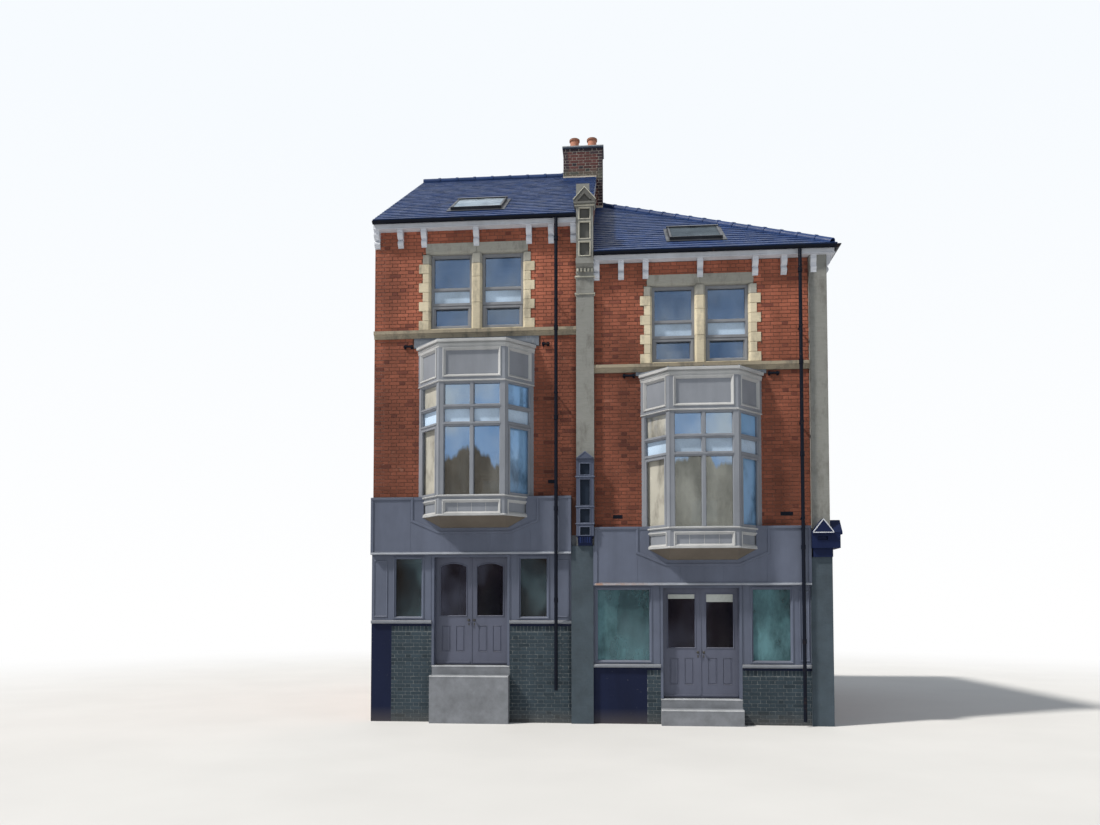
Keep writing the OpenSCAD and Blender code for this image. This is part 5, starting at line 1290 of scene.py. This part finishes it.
class BUILDING_OT_upper_sashes(bpy.types.Operator):
    """Adds beads, casements, drips and obscured panes to the upper windows"""
    bl_idname = "building.upper_sashes"
    bl_label = "Dress the upper windows"

    def execute(self, context):
        bars, panes = Piece(91, EVEN), Piece(92)
        face = Plane((0, 0.092, 0), (1, 0, 0))
        bead = [(0.008, -0.004), (-0.012, -0.030), (-0.012, -0.055), (0.008, -0.055)]
        casement = [(0.0, -0.002), (0.0, 0.010), (-0.044, 0.010), (-0.052, -0.002)]
        for u in (LEFT, RIGHT):
            foot, low = LIGHT[u], LIGHT[u] + 0.470
            mid = low + 0.10
            for s in (-1, 1):
                centre = AXIS[u] + s * (LIGHT_W + MULLION) / 2
                left, right = centre - LIGHT_W / 2, centre + LIGHT_W / 2
                for z0, z1, inset in ((foot + 0.075, low, 0.052), (mid - 0.002, mid + 0.272, 0.045),
                                      (mid + 0.318, LINTEL[u] - 0.045, 0.045)):
                    bars.frame(bead, face, (left + inset, right - inset), (z0, z1))
                bars.frame(casement, face, (left + 0.018, right - 0.018), (foot + 0.045, low + 0.032))
                bars.slab(face, (left + 0.01, right - 0.01), (low + 0.040, low + 0.052), (0.0, 0.020))
                bars.slab(face, (left + 0.002, right - 0.002), (foot, foot + 0.035), (0.0, 0.030))
                panes.block((left + 0.03, right - 0.03), (0.148, 0.151), (mid - 0.02, mid + 0.29))
        bars.build("upper_window_beads", "Window grey paint", "window_paint", bevel=0.002, segments=1)
        panes.build("upper_frosted_panes", "Frosted glass", "clear_glass")
        return {"FINISHED"}


def sunk_panel(piece, plane, u, v):
    """Bolection moulding round a panel sunk 30 mm"""
    piece.frame([(0.018, 0.0), (0.018, 0.010), (0.010, 0.018), (-0.002, 0.018), (-0.010, 0.010), (-0.038, -0.022),
                 (-0.042, -0.032), (0.0, -0.032)], plane, u, v)


class BUILDING_OT_oriels(bpy.types.Operator):
    """Adds the oriels' mouldings, sills, casements, obscured panes, cornices and lead roofs"""
    bl_idname = "building.oriels"
    bl_label = "Dress the oriels"

    def execute(self, context):
        plinth = [(-0.02, 0.0), (0.012, 0.0), (0.020, 0.008), (0.020, 0.026), (0.008, 0.040), (-0.02, 0.040)]
        sill = [(-0.01, 0.0), (0.016, 0.0), (0.030, 0.010), (0.034, 0.022), (0.030, 0.034), (-0.01, 0.046)]
        rail = [(-0.02, 0.0), (0.014, 0.0), (0.026, 0.012), (0.022, 0.024), (0.010, 0.030), (-0.02, 0.030)]
        cornice = [(-0.06, -0.040), (0.012, -0.040), (0.020, -0.028), (0.022, -0.004), (0.034, 0.012),
                   (0.034, 0.040), (0.020, 0.046), (0.020, 0.060), (-0.06, 0.060)]
        board = [(-0.06, 0.058), (0.064, 0.058), (0.070, 0.064), (0.070, 0.110), (0.064, 0.118), (-0.06, 0.118)]
        bead = [(0.002, -0.010), (-0.014, -0.026), (-0.014, -0.076), (0.002, -0.076)]
        casement = [(-0.004, -0.020), (-0.008, 0.006), (-0.048, 0.006), (-0.056, -0.020)]
        rows = [(0.035, 1.430), (1.490, 1.780), (1.840, 2.285)]
        post, bar = 0.092, 0.060
        for u, side in ((LEFT, "left"), (RIGHT, "right")):
            trim, bars, panes = Piece(101 + u, EVEN), Piece(103 + u, EVEN), Piece(107 + u)
            x, z, foot, head, top = AXIS[u], BAY[u], BAY[u] + APRON, BAY[u] + APRON + GLAZED, BAY[u] + BAY_TOP
            plan = [(x - BAY_HALF, 0.0), (x - BAY_FRONT, -BAY_OUT), (x + BAY_FRONT, -BAY_OUT), (x + BAY_HALF, 0.0)]
            for section, level in ((plinth, z), (sill, foot - 0.002), (rail, head - 0.012), (cornice, top),
                                   (board, top)):
                trim.belt(section, plan, level)
            for plane, length, columns in bay_faces(u):
                span, shelf = (post, length - post), Plane(plane.at(0, 0, 0.010), plane.along)
                sunk_panel(trim, plane, span, (z + 0.046, foot - 0.074))
                for k in range(1, 4 if columns == 2 else 1):
                    a = post + k * (length - 2 * post) / 4
                    trim.slab(plane, (a - 0.004, a + 0.004), (z + 0.076, foot - 0.104), (-0.034, -0.026))
                sunk_panel(trim, shelf, span, (head + 0.092, top - 0.055))
                light = (length - 2 * post - (columns - 1) * bar) / columns
                for c in range(columns):
                    a = post + c * (light + bar)
                    panes.slab(plane, (a - 0.01, a + light + 0.01), (foot + 1.475, foot + 1.795), (-0.0745, -0.0725))
                    for row in rows:
                        rise = (foot + row[0], foot + row[1])
                        bars.frame(bead, plane, (a, a + light), rise)
                        if row == rows[0] and columns == 1:
                            bars.frame(casement, plane, (a, a + light), rise)
                for _, level in rows[:2]:
                    rise = (foot + level + 0.018, foot + level + 0.042)
                    bars.slab(plane, (0.085, length - 0.085), rise, (-0.004, 0.012))
            for a, b in plan[1:3]:
                bars.block((a - 0.010, a + 0.010), (b - 0.006, b + 0.02), (foot + 0.046, head - 0.014))
            trim.build(f"oriel_mouldings_{side}", "Oriel trim paint", "grey_paint", stands_for=("oriel_roofs",),
                       bevel=0.0015, segments=1)
            bars.build(f"oriel_beads_{side}", "Oriel paint", "grey_paint", bevel=0.002, segments=1)
            panes.build(f"oriel_frosted_panes_{side}", "Frosted glass", "clear_glass")
            self.lead_roof(Piece(105 + u, EVEN), x, top, STRING[u] - STRING_H, f"oriel_lead_{side}")
        return {"FINISHED"}

    def lead_roof(self, lead, x, top, wall, name):
        """Lays an oriel's lead: its edge, slopes and rolls, and the upstand below the string course"""
        flat, deck, ridge = [
            [(x - wide, back, top + rise), (x - narrow, front, top + rise), (x + narrow, front, top + rise),
             (x + wide, back, top + rise)]
            for wide, narrow, back, front, rise in ((1.280, 0.686, -0.002, -0.594, 0.112),
                                                    (1.275, 0.684, -0.002, -0.588, 0.122),
                                                    (1.20, 0.66, -0.03, -0.10, 0.165))]
        lead.prism(flat, deck)
        lead.prism(deck, ridge)
        roll = [Vector((a, 0.004, b)) for a, b in ((-0.018, -0.004), (0.018, -0.004), (0.010, 0.020), (-0.010, 0.020))]
        for t in (0.0, 0.5, 1.0):
            a, b = [Vector(level[1]).lerp(Vector(level[2]), t) for level in (deck, ridge)]
            lead.prism([a + k for k in roll], [b + k for k in roll], 0.6)
        lead.block((x - 1.293, x + 1.293), (-0.027, -0.001), (top + 0.118, wall - 0.001), 0.4)
        lead.build(name, "Sheet lead", "roof_window_metal", stands_for=("oriel_roofs",), bevel=0.003)


class BUILDING_OT_fascias(bpy.types.Operator):
    """Adds the fascias' borders, the trims scribed to the oriels, the ledges and the board joints"""
    bl_idname = "building.fascias"
    bl_label = "Dress the fascias"

    def execute(self, context):
        trim, ledge = Piece(111, EVEN), Piece(112, EVEN)
        board, bay, base, edge = Plane((0, -FASCIA_OUT, 0), (1, 0, 0)), 1.255, 0.72, 0.055
        scribed = [(0.052, 0.0), (0.052, 0.012), (0.042, 0.018), (0.010, 0.018), (0.0, 0.010), (0.0, 0.0)]
        border = [(0.0, 0.0), (0.0, 0.020), (0.012, 0.024), (0.050, 0.020), (0.060, 0.0)]
        drip = [(-0.002, 0.0), (0.024, 0.0), (0.026, 0.014), (0.022, 0.038), (0.002, 0.052), (-0.002, 0.056)]
        for u, x0, x1 in ((LEFT, SHOP_X[LEFT][0], -0.285), (RIGHT, 0.185, SHOP_X[RIGHT][1])):
            x, z0, z1, bend, foot = AXIS[u], FASCIA[u], FASCIA_TOP[u], BAY[u] - 0.045, BAY[u] - 0.270
            trim.trace(scribed, board, [(x - bay, z1 - 0.03), (x - bay, bend), (x - base, foot), (x + base, foot),
                                        (x + bay, bend), (x + bay, z1 - 0.03)])
            for a, b in ((x0, x - bay), (x + bay, x1)):
                trim.trace(border, board, [(a, z1 - 0.002), (b, z1 - 0.002)])
            for a in (x0, x1 - edge):
                trim.slab(board, (a, a + edge), (z0 + 0.055, z1 - 0.06), (0.0, 0.018))
            ledge.belt(drip, [(x0, -FASCIA_OUT), (x1, -FASCIA_OUT)], z0)
            for t in (0.2, 0.4, 0.6, 0.8):
                a = x0 + t * (x1 - x0)
                head = foot - 0.005 if abs(a - x) < 1.2 else z1 - 0.06
                trim.slab(board, (a - 0.0025, a + 0.0025), (z0 + 0.055, head), (-0.001, 0.003))
        trim.build("fascia_trims", "Shopfront paint", "grey_paint", bevel=0.002, segments=1)
        ledge.build("fascia_ledges", "Rusted ledge", "grey_paint", bevel=0.002, segments=1)
        return {"FINISHED"}


class BUILDING_OT_shopfronts(bpy.types.Operator):
    """Adds sashes, beads, end panels, moulded sills and a blind to the shopfronts"""
    bl_idname = "building.shopfronts"
    bl_label = "Dress the shopfronts"

    def execute(self, context):
        trim, sills, blind = Piece(121, EVEN), Piece(122, EVEN), Piece(123, EVEN)
        face = Plane((0, -SHOP_OUT, 0), (1, 0, 0))
        sash = [(0.020, 0.0), (0.020, 0.012), (-0.004, 0.016), (-0.020, -0.008), (-0.036, -0.020), (-0.036, -0.048),
                (0.020, -0.048)]
        moulding = [(0.0, 0.0), (0.0, 0.010), (-0.012, 0.014), (-0.026, 0.006), (-0.030, 0.0)]
        nosed = [(-0.165, -0.070), (0.040, -0.070), (0.042, -0.058), (0.052, -0.056), (0.060, -0.048),
                 (0.060, -0.014), (0.050, -0.006), (-0.020, 0.0), (-0.165, 0.0)]
        blanks = (((-4.330, -4.040), (-0.610, -0.320)), ((4.195, 4.385),))
        for u in (LEFT, RIGHT):
            door, foot, top = DOOR_X[u], SILL[u], FASCIA[u] - 0.050
            for span in GLASS_X[u]:
                trim.frame(sash, face, span, (foot + 0.040, top))
            for span in blanks[u]:
                trim.frame(moulding, face, span, (foot + 0.06, top - 0.06))
            for s in (-1, 1):
                inner = door + s * 0.745
                lining = sorted((inner + s * 0.004, inner + s * 0.052))
                trim.slab(face, lining, (THRESHOLD[u] + 0.01, top), (0.0, 0.014))
                trim.slab(face, sorted((inner + s * 0.066, inner + s * 0.076)), (foot, top), (0.0, 0.008))
            trim.slab(face, (door - 0.80, door + 0.80), (top - 0.002, top + 0.048), (0.0, 0.014))
            for a, b in ((SHOP_X[u][0], door - DOORWAY), (door + DOORWAY, SHOP_X[u][1])):
                sills.belt(nosed, [(a, -SHOP_OUT), (b, -SHOP_OUT)], foot)
        trim.build("shopfront_beads", "Shopfront paint", "grey_paint", bevel=0.002, segments=1)
        sills.build("shop_sills_moulded", "Oriel paint", "grey_paint", stands_for=("shop_sills",), bevel=0.003)
        a, b = GLASS_X[LEFT][0]
        blind.block((a + 0.01, b - 0.01), (0.030, 0.034), (FASCIA[LEFT] - 0.175, FASCIA[LEFT] - 0.045))
        blind.build("shop_window_blind", "Woven blind", "sash_paint")
        return {"FINISHED"}


class BUILDING_OT_riser_bricks(bpy.types.Operator):
    """Lays the painted bricks under the shop windows and edges the door steps"""
    bl_idname = "building.riser_bricks"
    bl_label = "Lay the painted bricks"

    def execute(self, context):
        risers, beds, edges = Piece(131), Piece(132, 0.75), Piece(133, EVEN)
        face = Plane((0, -SHOP_OUT, 0), (1, 0, 0))
        size = context.scene.building_bricks
        for u in (LEFT, RIGHT):
            left, right, top = DOOR_X[u] - DOORWAY, DOOR_X[u] + DOORWAY, SILL[u] - 0.120
            low = top - size.header
            first = SHOP_X[u][0] + 0.42 if u == LEFT else left - 0.27
            for a, b in ((first, left), (right, SHOP_X[u][1])):
                beds.slab(face, (a, b), (0.0, top), (-0.01, 0.0015))
                lay_bricks(risers, face, (a, b, 0.0, low - size.joint), [], base=low - size.joint)
                n = round((b - a) / size.course)
                step = (b - a) / n
                for i in range(n):
                    brick_face(risers, face, (a + i * step, a + (i + 1) * step - size.joint, low, top), size.proud)
            for z, out in ((THRESHOLD[u], 0.0), (THRESHOLD[u] - 0.190, 0.230)):
                edges.slab(face, (left, right), (z - 0.030, z), (out, out + 0.005))
        beds.build("riser_joints", "Riser joints", "painted_brick")
        risers.build("riser_bricks", "Riser paint", "painted_brick", solid=False)
        edges.build("step_nosings", "Worn nosing", "concrete", bevel=0.003)
        return {"FINISHED"}


def turned_knob(piece, plane, u, v):
    """A door knob, turned round its spindle"""
    n, profile = 20, ((0.0, 0.026), (0.005, 0.026), (0.007, 0.011), (0.030, 0.010), (0.036, 0.020), (0.048, 0.026),
                      (0.058, 0.022), (0.062, 0.010))
    arc = [2 * math.pi * j / n for j in range(n)]
    points = [plane.at(u + r * math.cos(a), v + r * math.sin(a), d) for d, r in profile for a in arc]
    faces = [(j * n + k, j * n + (k + 1) % n, (j + 1) * n + (k + 1) % n, (j + 1) * n + k)
             for j in range(len(profile) - 1) for k in range(n)]
    piece.add(points, faces + [tuple(range(n - 1, -1, -1)), tuple(range(len(points) - n, len(points)))])


class BUILDING_OT_doors(bpy.types.Operator):
    """Adds fielded panels, glazing beads, knobs and film to the four door leaves"""
    bl_idname = "building.doors"
    bl_label = "Dress the door leaves"

    def execute(self, context):
        face = Plane((0, LEAF_FACE, 0), (1, 0, 0))
        panel = [(0.007, 0.0), (0.007, 0.003), (0.001, 0.004), (-0.004, -0.008), (0.0, -0.008)]
        glazing = [(0.012, 0.0), (0.012, 0.008), (0.0, 0.012), (-0.012, 0.0), (-0.014, -0.014), (0.0, -0.014)]
        for i, hinge in enumerate(HINGE_X):
            u, hand, body = i // 2, 1 if i % 2 == 0 else -1, f"door_{i + 1}"
            z, head = THRESHOLD[u] + 0.009, THRESHOLD[u] + 0.009 + LEAF_H
            wood, metal = Piece(141 + i, EVEN), Piece(145 + i, EVEN)

            def span(a, b):
                """Part of the leaf's width, measured from its hinges"""
                return sorted((hinge + hand * a, hinge + hand * b))

            lo, hi = z + 0.265, z + 0.785
            for a in (0.143, 0.43575):
                left, right = span(a, a + 0.16775)
                wood.frame(panel, face, (left, right), (lo, hi))
                wood.prism(*[[face.at(p, q, out) for p, q in ((left + e, lo + e), (right - e, lo + e),
                                                             (right - e, hi - e), (left + e, hi - e))]
                             for e, out in ((0.012, -0.009), (0.022, -0.001))])
            left, right = span(0.098, LEAF_W - 0.098)
            lo, hi, top = z + 0.985, head - 0.120, [(right, head - 0.120), (left, head - 0.120)]
            if u == LEFT:
                half, rise = (right - left) / 2, 0.070
                radius = (half * half + rise * rise) / (2 * rise)
                turn = math.asin(half / radius)
                top = [((left + right) / 2 + radius * math.sin(t * turn), hi - radius + radius * math.cos(t * turn))
                       for t in [1 - j / 6 for j in range(13)]]
            wood.trace(glazing, face, [(left, lo), (right, lo)] + top, True)
            wood.slab(face, span(0.02, LEAF_W - 0.02), (z + 0.030, z + 0.062), (0.0, 0.022))
            if hand < 0:
                wood.slab(face, span(LEAF_W - 0.006, LEAF_W + 0.014), (z + 0.012, head - 0.012), (0.001, 0.010))
            wood.build(f"door_mouldings_{i + 1}", "Door paint", "grey_paint", body, bevel=0.0015, segments=1)
            if u == RIGHT:
                film, deep = Piece(149 + i), (0.100, 0.165)[i - 2]
                film.slab(face, span(0.11, LEAF_W - 0.11), (hi - deep, hi), (-0.0162, -0.0148))
                film.build(f"door_film_{i + 1}", "Frosted film", "clear_glass", body)
            knob = hinge + hand * (LEAF_W - 0.052)
            turned_knob(metal, face, knob, z + 0.90)
            metal.slab(face, (knob - 0.012, knob + 0.012), (z + 0.795, z + 0.845), (0.0, 0.004))
            metal.build(f"door_furniture_{i + 1}", "Door metal", "grey_paint", body, bevel=0.001, segments=1,
                        smooth=True)
        return {"FINISHED"}


class BUILDING_OT_pilasters(bpy.types.Operator):
    """Adds dentils, belts, niche frames and gable mouldings to the middle pilaster and trims to the consoles"""
    bl_idname = "building.pilasters"
    bl_label = "Dress the pilasters"

    def execute(self, context):
        stone, paint, teeth, dark, edges = Piece(151), Piece(152), Piece(153), Piece(154), Piece(155)
        shaft, niche, gable, face = [Plane((0, -out, 0), (1, 0, 0)) for out in (0.100, 0.200, 0.290, 0.230)]
        for i in range(5):
            a = -0.165 + i * 0.0725
            stone.slab(shaft, (a, a + 0.040), (NICHE_Z - 0.245, NICHE_Z - 0.185), (0.02, 0.070))
        belt = [(0.0, 0.0), (0.016, 0.0), (0.026, 0.010), (0.026, 0.022), (0.010, 0.034), (0.0, 0.034)]
        for rise, out in ((-0.70, 0.100), (-0.35, 0.100), (1.075, 0.200)):
            stone.belt(belt, [(-PILASTER, 0.0), (-PILASTER, -out), (PILASTER, -out), (PILASTER, 0.0)], NICHE_Z + rise)
        moulding = [(0.016, 0.0), (0.016, 0.010), (0.004, 0.014), (-0.006, 0.004), (-0.010, -0.020), (0.0, -0.020)]
        for lo, hi in ((0.060, 0.340), (0.410, 0.750), (0.820, 1.040)):
            stone.frame(moulding, niche, (-0.108, 0.108), (NICHE_Z + lo, NICHE_Z + hi))
        top = NICHE_Z + 1.110
        stone.trace([(0.0, -0.02), (0.0, 0.012), (-0.014, 0.012), (-0.014, -0.02)], gable,
                    [(0.235, top + 0.066), (0.0, top + 0.330), (-0.235, top + 0.066)])
        stone.build("pilaster_dressings", "Niche stone", "grey_render", bevel=0.003)
        dark.trace([(0.0, -0.02), (0.0, 0.014), (-0.028, 0.014), (-0.028, -0.02)], gable,
                   [(0.135, top + 0.070), (0.0, top + 0.222), (-0.135, top + 0.070)])
        dark.build("pilaster_gable_moulding", "Pilaster render", "grey_render", bevel=0.003)
        moulding = [(0.010, 0.0), (0.010, 0.010), (-0.002, 0.012), (-0.006, -0.012), (0.0, -0.012)]
        for lo, hi in ((0.200, 0.370), (0.450, 0.730), (0.800, 1.320), (1.410, 1.640)):
            paint.frame(moulding, face, (-0.100, 0.100), (CONSOLE_Z + lo, CONSOLE_Z + hi))
        for i in range(5):
            a = -0.108 + i * 0.046
            teeth.slab(face, (a, a + 0.032), (CONSOLE_Z + 0.050, CONSOLE_Z + 0.170), (-0.014, 0.004))
        belt = [(0.0, 0.0), (0.012, 0.004), (0.018, 0.014), (0.012, 0.024), (0.0, 0.028)]
        for rise in (0.420, 0.760, 1.360):
            paint.belt(belt, [(-0.175, -0.10), (-0.175, -0.230), (0.175, -0.230), (0.175, -0.10)], CONSOLE_Z + rise)
        rim = [(0.0, -0.02), (0.0, 0.008), (-0.018, 0.008), (-0.018, -0.02)]
        for trim, x, out, z, half, eave, rise in (
                (paint, 0.0, 0.260, CONSOLE_Z + 1.720, 0.175, 0.025, 0.165),
                (edges, END_X[1] - 0.150, 0.290, CORNER_CONSOLE_Z + 0.445, 0.200, 0.045, 0.300)):
            front = Plane((x, -out, 0), (1, 0, 0))
            trim.trace(rim, front, [(half, z + eave), (0.0, z + rise), (-half, z + eave)])
            trim.slab(front, (-half, half), (z + 0.018, z + 0.034), (-0.010, 0.008))
        edges.build("console_gable_edges", "White eaves paint", "console_paint", bevel=0.002)
        paint.build("console_mouldings", "Console trim", "console_paint", bevel=0.002)
        teeth.build("console_dentils", "Console paint", "console_paint", bevel=0.002)
        return {"FINISHED"}


class BUILDING_OT_pipes(bpy.types.Operator):
    """Adds the downpipes' sockets"""
    bl_idname = "building.pipes"
    bl_label = "Dress the downpipes"

    def execute(self, context):
        iron, axis, length = Piece(161, EVEN), -0.215, 1.83
        for u, x, foot in ((LEFT, -0.580, 0.665), (RIGHT, 4.250, 0.095)):
            z = SOFFIT[u] - 0.30
            while z > foot + 0.3:
                for low, high, radius in ((-0.075, 0.0, 0.043), (-0.006, 0.006, 0.047), (-0.078, -0.066, 0.047)):
                    iron.prism(ring(x, axis, z + low, radius), ring(x, axis, z + high, radius))
                z -= length
        iron.build("downpipe_sockets", "Cast iron", "black_iron", bevel=0.002, smooth=True)
        return {"FINISHED"}


class BUILDING_OT_fittings(bpy.types.Operator):
    """Adds the iron stubs beside the oriels and the air bricks below them"""
    bl_idname = "building.fittings"
    bl_label = "Fix the iron stubs and air bricks"

    def execute(self, context):
        stubs, grilles = Piece(165, EVEN), Piece(166, EVEN)
        for x0, x1, z in ((-3.747, -3.553, 7.684), (-0.882, -0.726, 7.675), (0.757, 1.007, 6.980),
                          (3.640, 3.860, 6.970)):
            stubs.slab(FRONT, (x0, x1), (z - 0.018, z + 0.018), (0.018, 0.060))
            for x in (x0 + 0.03, x1 - 0.03):
                stubs.slab(FRONT, (x - 0.022, x + 0.022), (z - 0.045, z + 0.045), (-0.002, 0.020))
        for x0, x1, z in ((-0.757, -0.586, 4.858), (3.859, 4.100, 4.164), (0.556, 0.746, 4.127)):
            grilles.slab(FRONT, (x0, x1), (z - 0.0375, z + 0.0375), (-0.002, 0.008))
            for k in range(7):
                a = x0 + 0.014 + k * (x1 - x0 - 0.034) / 6
                grilles.slab(FRONT, (a, a + 0.006), (z - 0.028, z + 0.028), (0.006, 0.013))
        stubs.build("iron_stubs", "Cast iron", "black_iron", bevel=0.004)
        grilles.build("air_bricks", "Cast iron", "black_iron", bevel=0.0015, segments=1)
        return {"FINISHED"}


class BUILDING_OT_plain_windows(bpy.types.Operator):
    """Adds beads, bars, horns and meeting rails to the side and rear windows"""
    bl_idname = "building.plain_windows"
    bl_label = "Dress the side and rear windows"

    def execute(self, context):
        bars, set_back, half = Piece(171, EVEN), 0.110, PLAIN_W / 2
        side = Plane((END_X[1] - set_back, 0, 0), (0, 1, 0))
        rear = Plane((0, DEPTH - set_back, 0), (-1, 0, 0))
        spots = [(side, y, z[RIGHT]) for z in (FIRST, SECOND) for y in SIDE_Y]
        spots += [(rear, -x, z[u]) for u in (LEFT, RIGHT) for x in rear_x(u) for z in (FIRST, SECOND)]
        bead = [(0.004, 0.0), (-0.012, -0.018), (-0.012, -0.055), (0.004, -0.055)]
        for plane, x, floor in spots:
            z = floor + PLAIN_SILL
            for lo, hi in ((0.050, 0.725), (0.775, 1.450)):
                bars.frame(bead, plane, (x - half + 0.05, x + half - 0.05), (z + lo, z + hi))
                bars.slab(plane, (x - 0.010, x + 0.010), (z + lo, z + hi), (-0.045, -0.012))
            bars.slab(plane, (x - half + 0.03, x + half - 0.03), (z + 0.735, z + 0.765), (0.0, 0.014))
            for s in (-1, 1):
                a = x + s * (half - 0.045)
                bars.slab(plane, (a - 0.016, a + 0.016), (z + 0.690, z + 0.735), (0.0, 0.014))
            bars.slab(plane, (x - half, x + half), (z, z + 0.022), (0.0, 0.050))
        bars.build("plain_window_beads", "Sash white paint", "sash_paint", bevel=0.002, segments=1)
        return {"FINISHED"}


class BUILDING_OT_stage(bpy.types.Operator):
    """Sets the floor, the studio light and the camera in front of the building"""
    bl_idname = "building.stage"
    bl_label = "Set the stage"

    def execute(self, context):
        scene = context.scene
        scene.view_settings.view_transform = "Standard"
        self.lay_floor(scene)
        self.light(scene, scene.building_lights)
        view = bpy.data.cameras.new("Front view")
        view.sensor_width, view.lens, view.shift_y, view.clip_end = 36.0, 27.03, 0.1487, 300
        eye = bpy.data.objects.new("Front view", view)
        eye.location = Vector((0.601, -16.600, 2.28)) + SHIFT
        eye.rotation_euler = (math.radians(90 + 2.27), 0, math.radians(4.54))
        scene.collection.objects.link(eye)
        scene.camera = eye
        return {"FINISHED"}

    def lay_floor(self, scene):
        """A pale floor that fades to white far out"""
        half = 60
        mesh = bpy.data.meshes.new("studio_floor")
        mesh.from_pydata([(-half, -half, 0), (half, -half, 0), (half, half, 0), (-half, half, 0)], [], [(0, 1, 2, 3)])
        floor = bpy.data.objects.new("studio_floor", mesh)
        scene.collection.objects.link(floor)
        r = Recipe("Studio floor")
        r.done(r.clouds((0.4, 3, 0.5), 0.60, 0.64), 0.8)
        far = r.node("ShaderNodeVectorMath", {0: r.place}, operation="LENGTH").outputs["Value"]
        far = r.node("ShaderNodeMapRange", {"Value": far, "From Min": 11.0, "From Max": 30.0},
                     interpolation_type="SMOOTHSTEP").outputs[0]
        rays = r.node("ShaderNodeLightPath").outputs
        seen = r.calc("ADD", rays["Is Camera Ray"], rays["Is Glossy Ray"], True)
        white = r.node("ShaderNodeEmission", {"Color": (1, 1, 1, 1)}).outputs[0]
        both = r.node("ShaderNodeMixShader", {0: r.times(far, seen), 1: r.shader.outputs[0], 2: white})
        r.join(both.outputs[0], r.tree.nodes["Material Output"].inputs["Surface"])
        mesh.materials.append(r.material)

    def light(self, scene, lights):
        """Soft light from all round in front of a white backdrop, and one key light"""
        scene.world = bpy.data.worlds.new("Studio air")
        scene.world.use_nodes = True
        r = Recipe.of_world(scene.world)
        soft = r.node("ShaderNodeBackground", {"Color": (0.86, 0.93, 1.0, 1), "Strength": lights.fill})
        high = r.node("ShaderNodeSeparateXYZ", {"Vector": r.node("ShaderNodeTexCoord").outputs["Generated"]})
        sky = r.ramp(high.outputs["Z"], (0.0, (1, 1, 1, 1)), (0.5, (0.93, 0.965, 1.0, 1)))
        clear = r.node("ShaderNodeBackground", {"Color": sky, "Strength": 1.0})
        rays = r.node("ShaderNodeLightPath").outputs
        seen = r.calc("ADD", r.plus(rays["Is Camera Ray"], rays["Is Glossy Ray"]), rays["Is Transmission Ray"], True)
        both = r.node("ShaderNodeMixShader", {0: seen, 1: soft.outputs[0], 2: clear.outputs[0]})
        r.join(both.outputs[0], r.tree.nodes["World Output"].inputs["Surface"])
        key = bpy.data.lights.new("Key light", "SUN")
        key.energy, key.angle, key.color = lights.key, math.radians(5), (1.0, 0.95, 0.87)
        sun = bpy.data.objects.new("Key light", key)
        sun.rotation_euler = Vector((0.57, 0.29, -0.77)).to_track_quat("-Z", "Y").to_euler()
        scene.collection.objects.link(sun)


PIECE_OPERATORS = (
    BUILDING_OT_finishes, BUILDING_OT_front_bricks, BUILDING_OT_side_bricks, BUILDING_OT_chimney,
    BUILDING_OT_slates, BUILDING_OT_ridge_tiles, BUILDING_OT_skylights, BUILDING_OT_eaves,
    BUILDING_OT_window_stones, BUILDING_OT_upper_sashes, BUILDING_OT_oriels, BUILDING_OT_fascias,
    BUILDING_OT_shopfronts, BUILDING_OT_riser_bricks, BUILDING_OT_doors, BUILDING_OT_pilasters,
    BUILDING_OT_pipes, BUILDING_OT_fittings, BUILDING_OT_plain_windows, BUILDING_OT_stage)


class BUILDING_PT_panel(bpy.types.Panel):
    """Sizes, colours and pieces of the building"""
    bl_idname = "BUILDING_PT_panel"
    bl_label = "Corner shop building"
    bl_space_type = "VIEW_3D"
    bl_region_type = "UI"
    bl_category = "Building"

    def draw(self, context):
        for group in ("building_bricks", "building_slates", "building_colours", "building_lights"):
            values = getattr(context.scene, group)
            box = self.layout.box()
            for key in type(values).__annotations__:
                box.prop(values, key)
        for made in PIECE_OPERATORS:
            self.layout.operator(made.bl_idname)


GROUPS = {"building_bricks": BrickSizes, "building_slates": SlateSizes, "building_colours": FinishColours,
          "building_lights": StageLights}
CLASSES = tuple(GROUPS.values()) + PIECE_OPERATORS + (BUILDING_PT_panel,)


def register():
    for made in CLASSES:
        bpy.utils.register_class(made)
    for name, group in GROUPS.items():
        setattr(bpy.types.Scene, name, PointerProperty(type=group))


def unregister():
    for name in GROUPS:
        delattr(bpy.types.Scene, name)
    for made in reversed(CLASSES):
        bpy.utils.unregister_class(made)


def main():
    register()
    for made in PIECE_OPERATORS:
        group, name = made.bl_idname.split(".")
        getattr(getattr(bpy.ops, group), name)()
    bpy.context.view_layer.update()


if __name__ == "__main__":
    main()
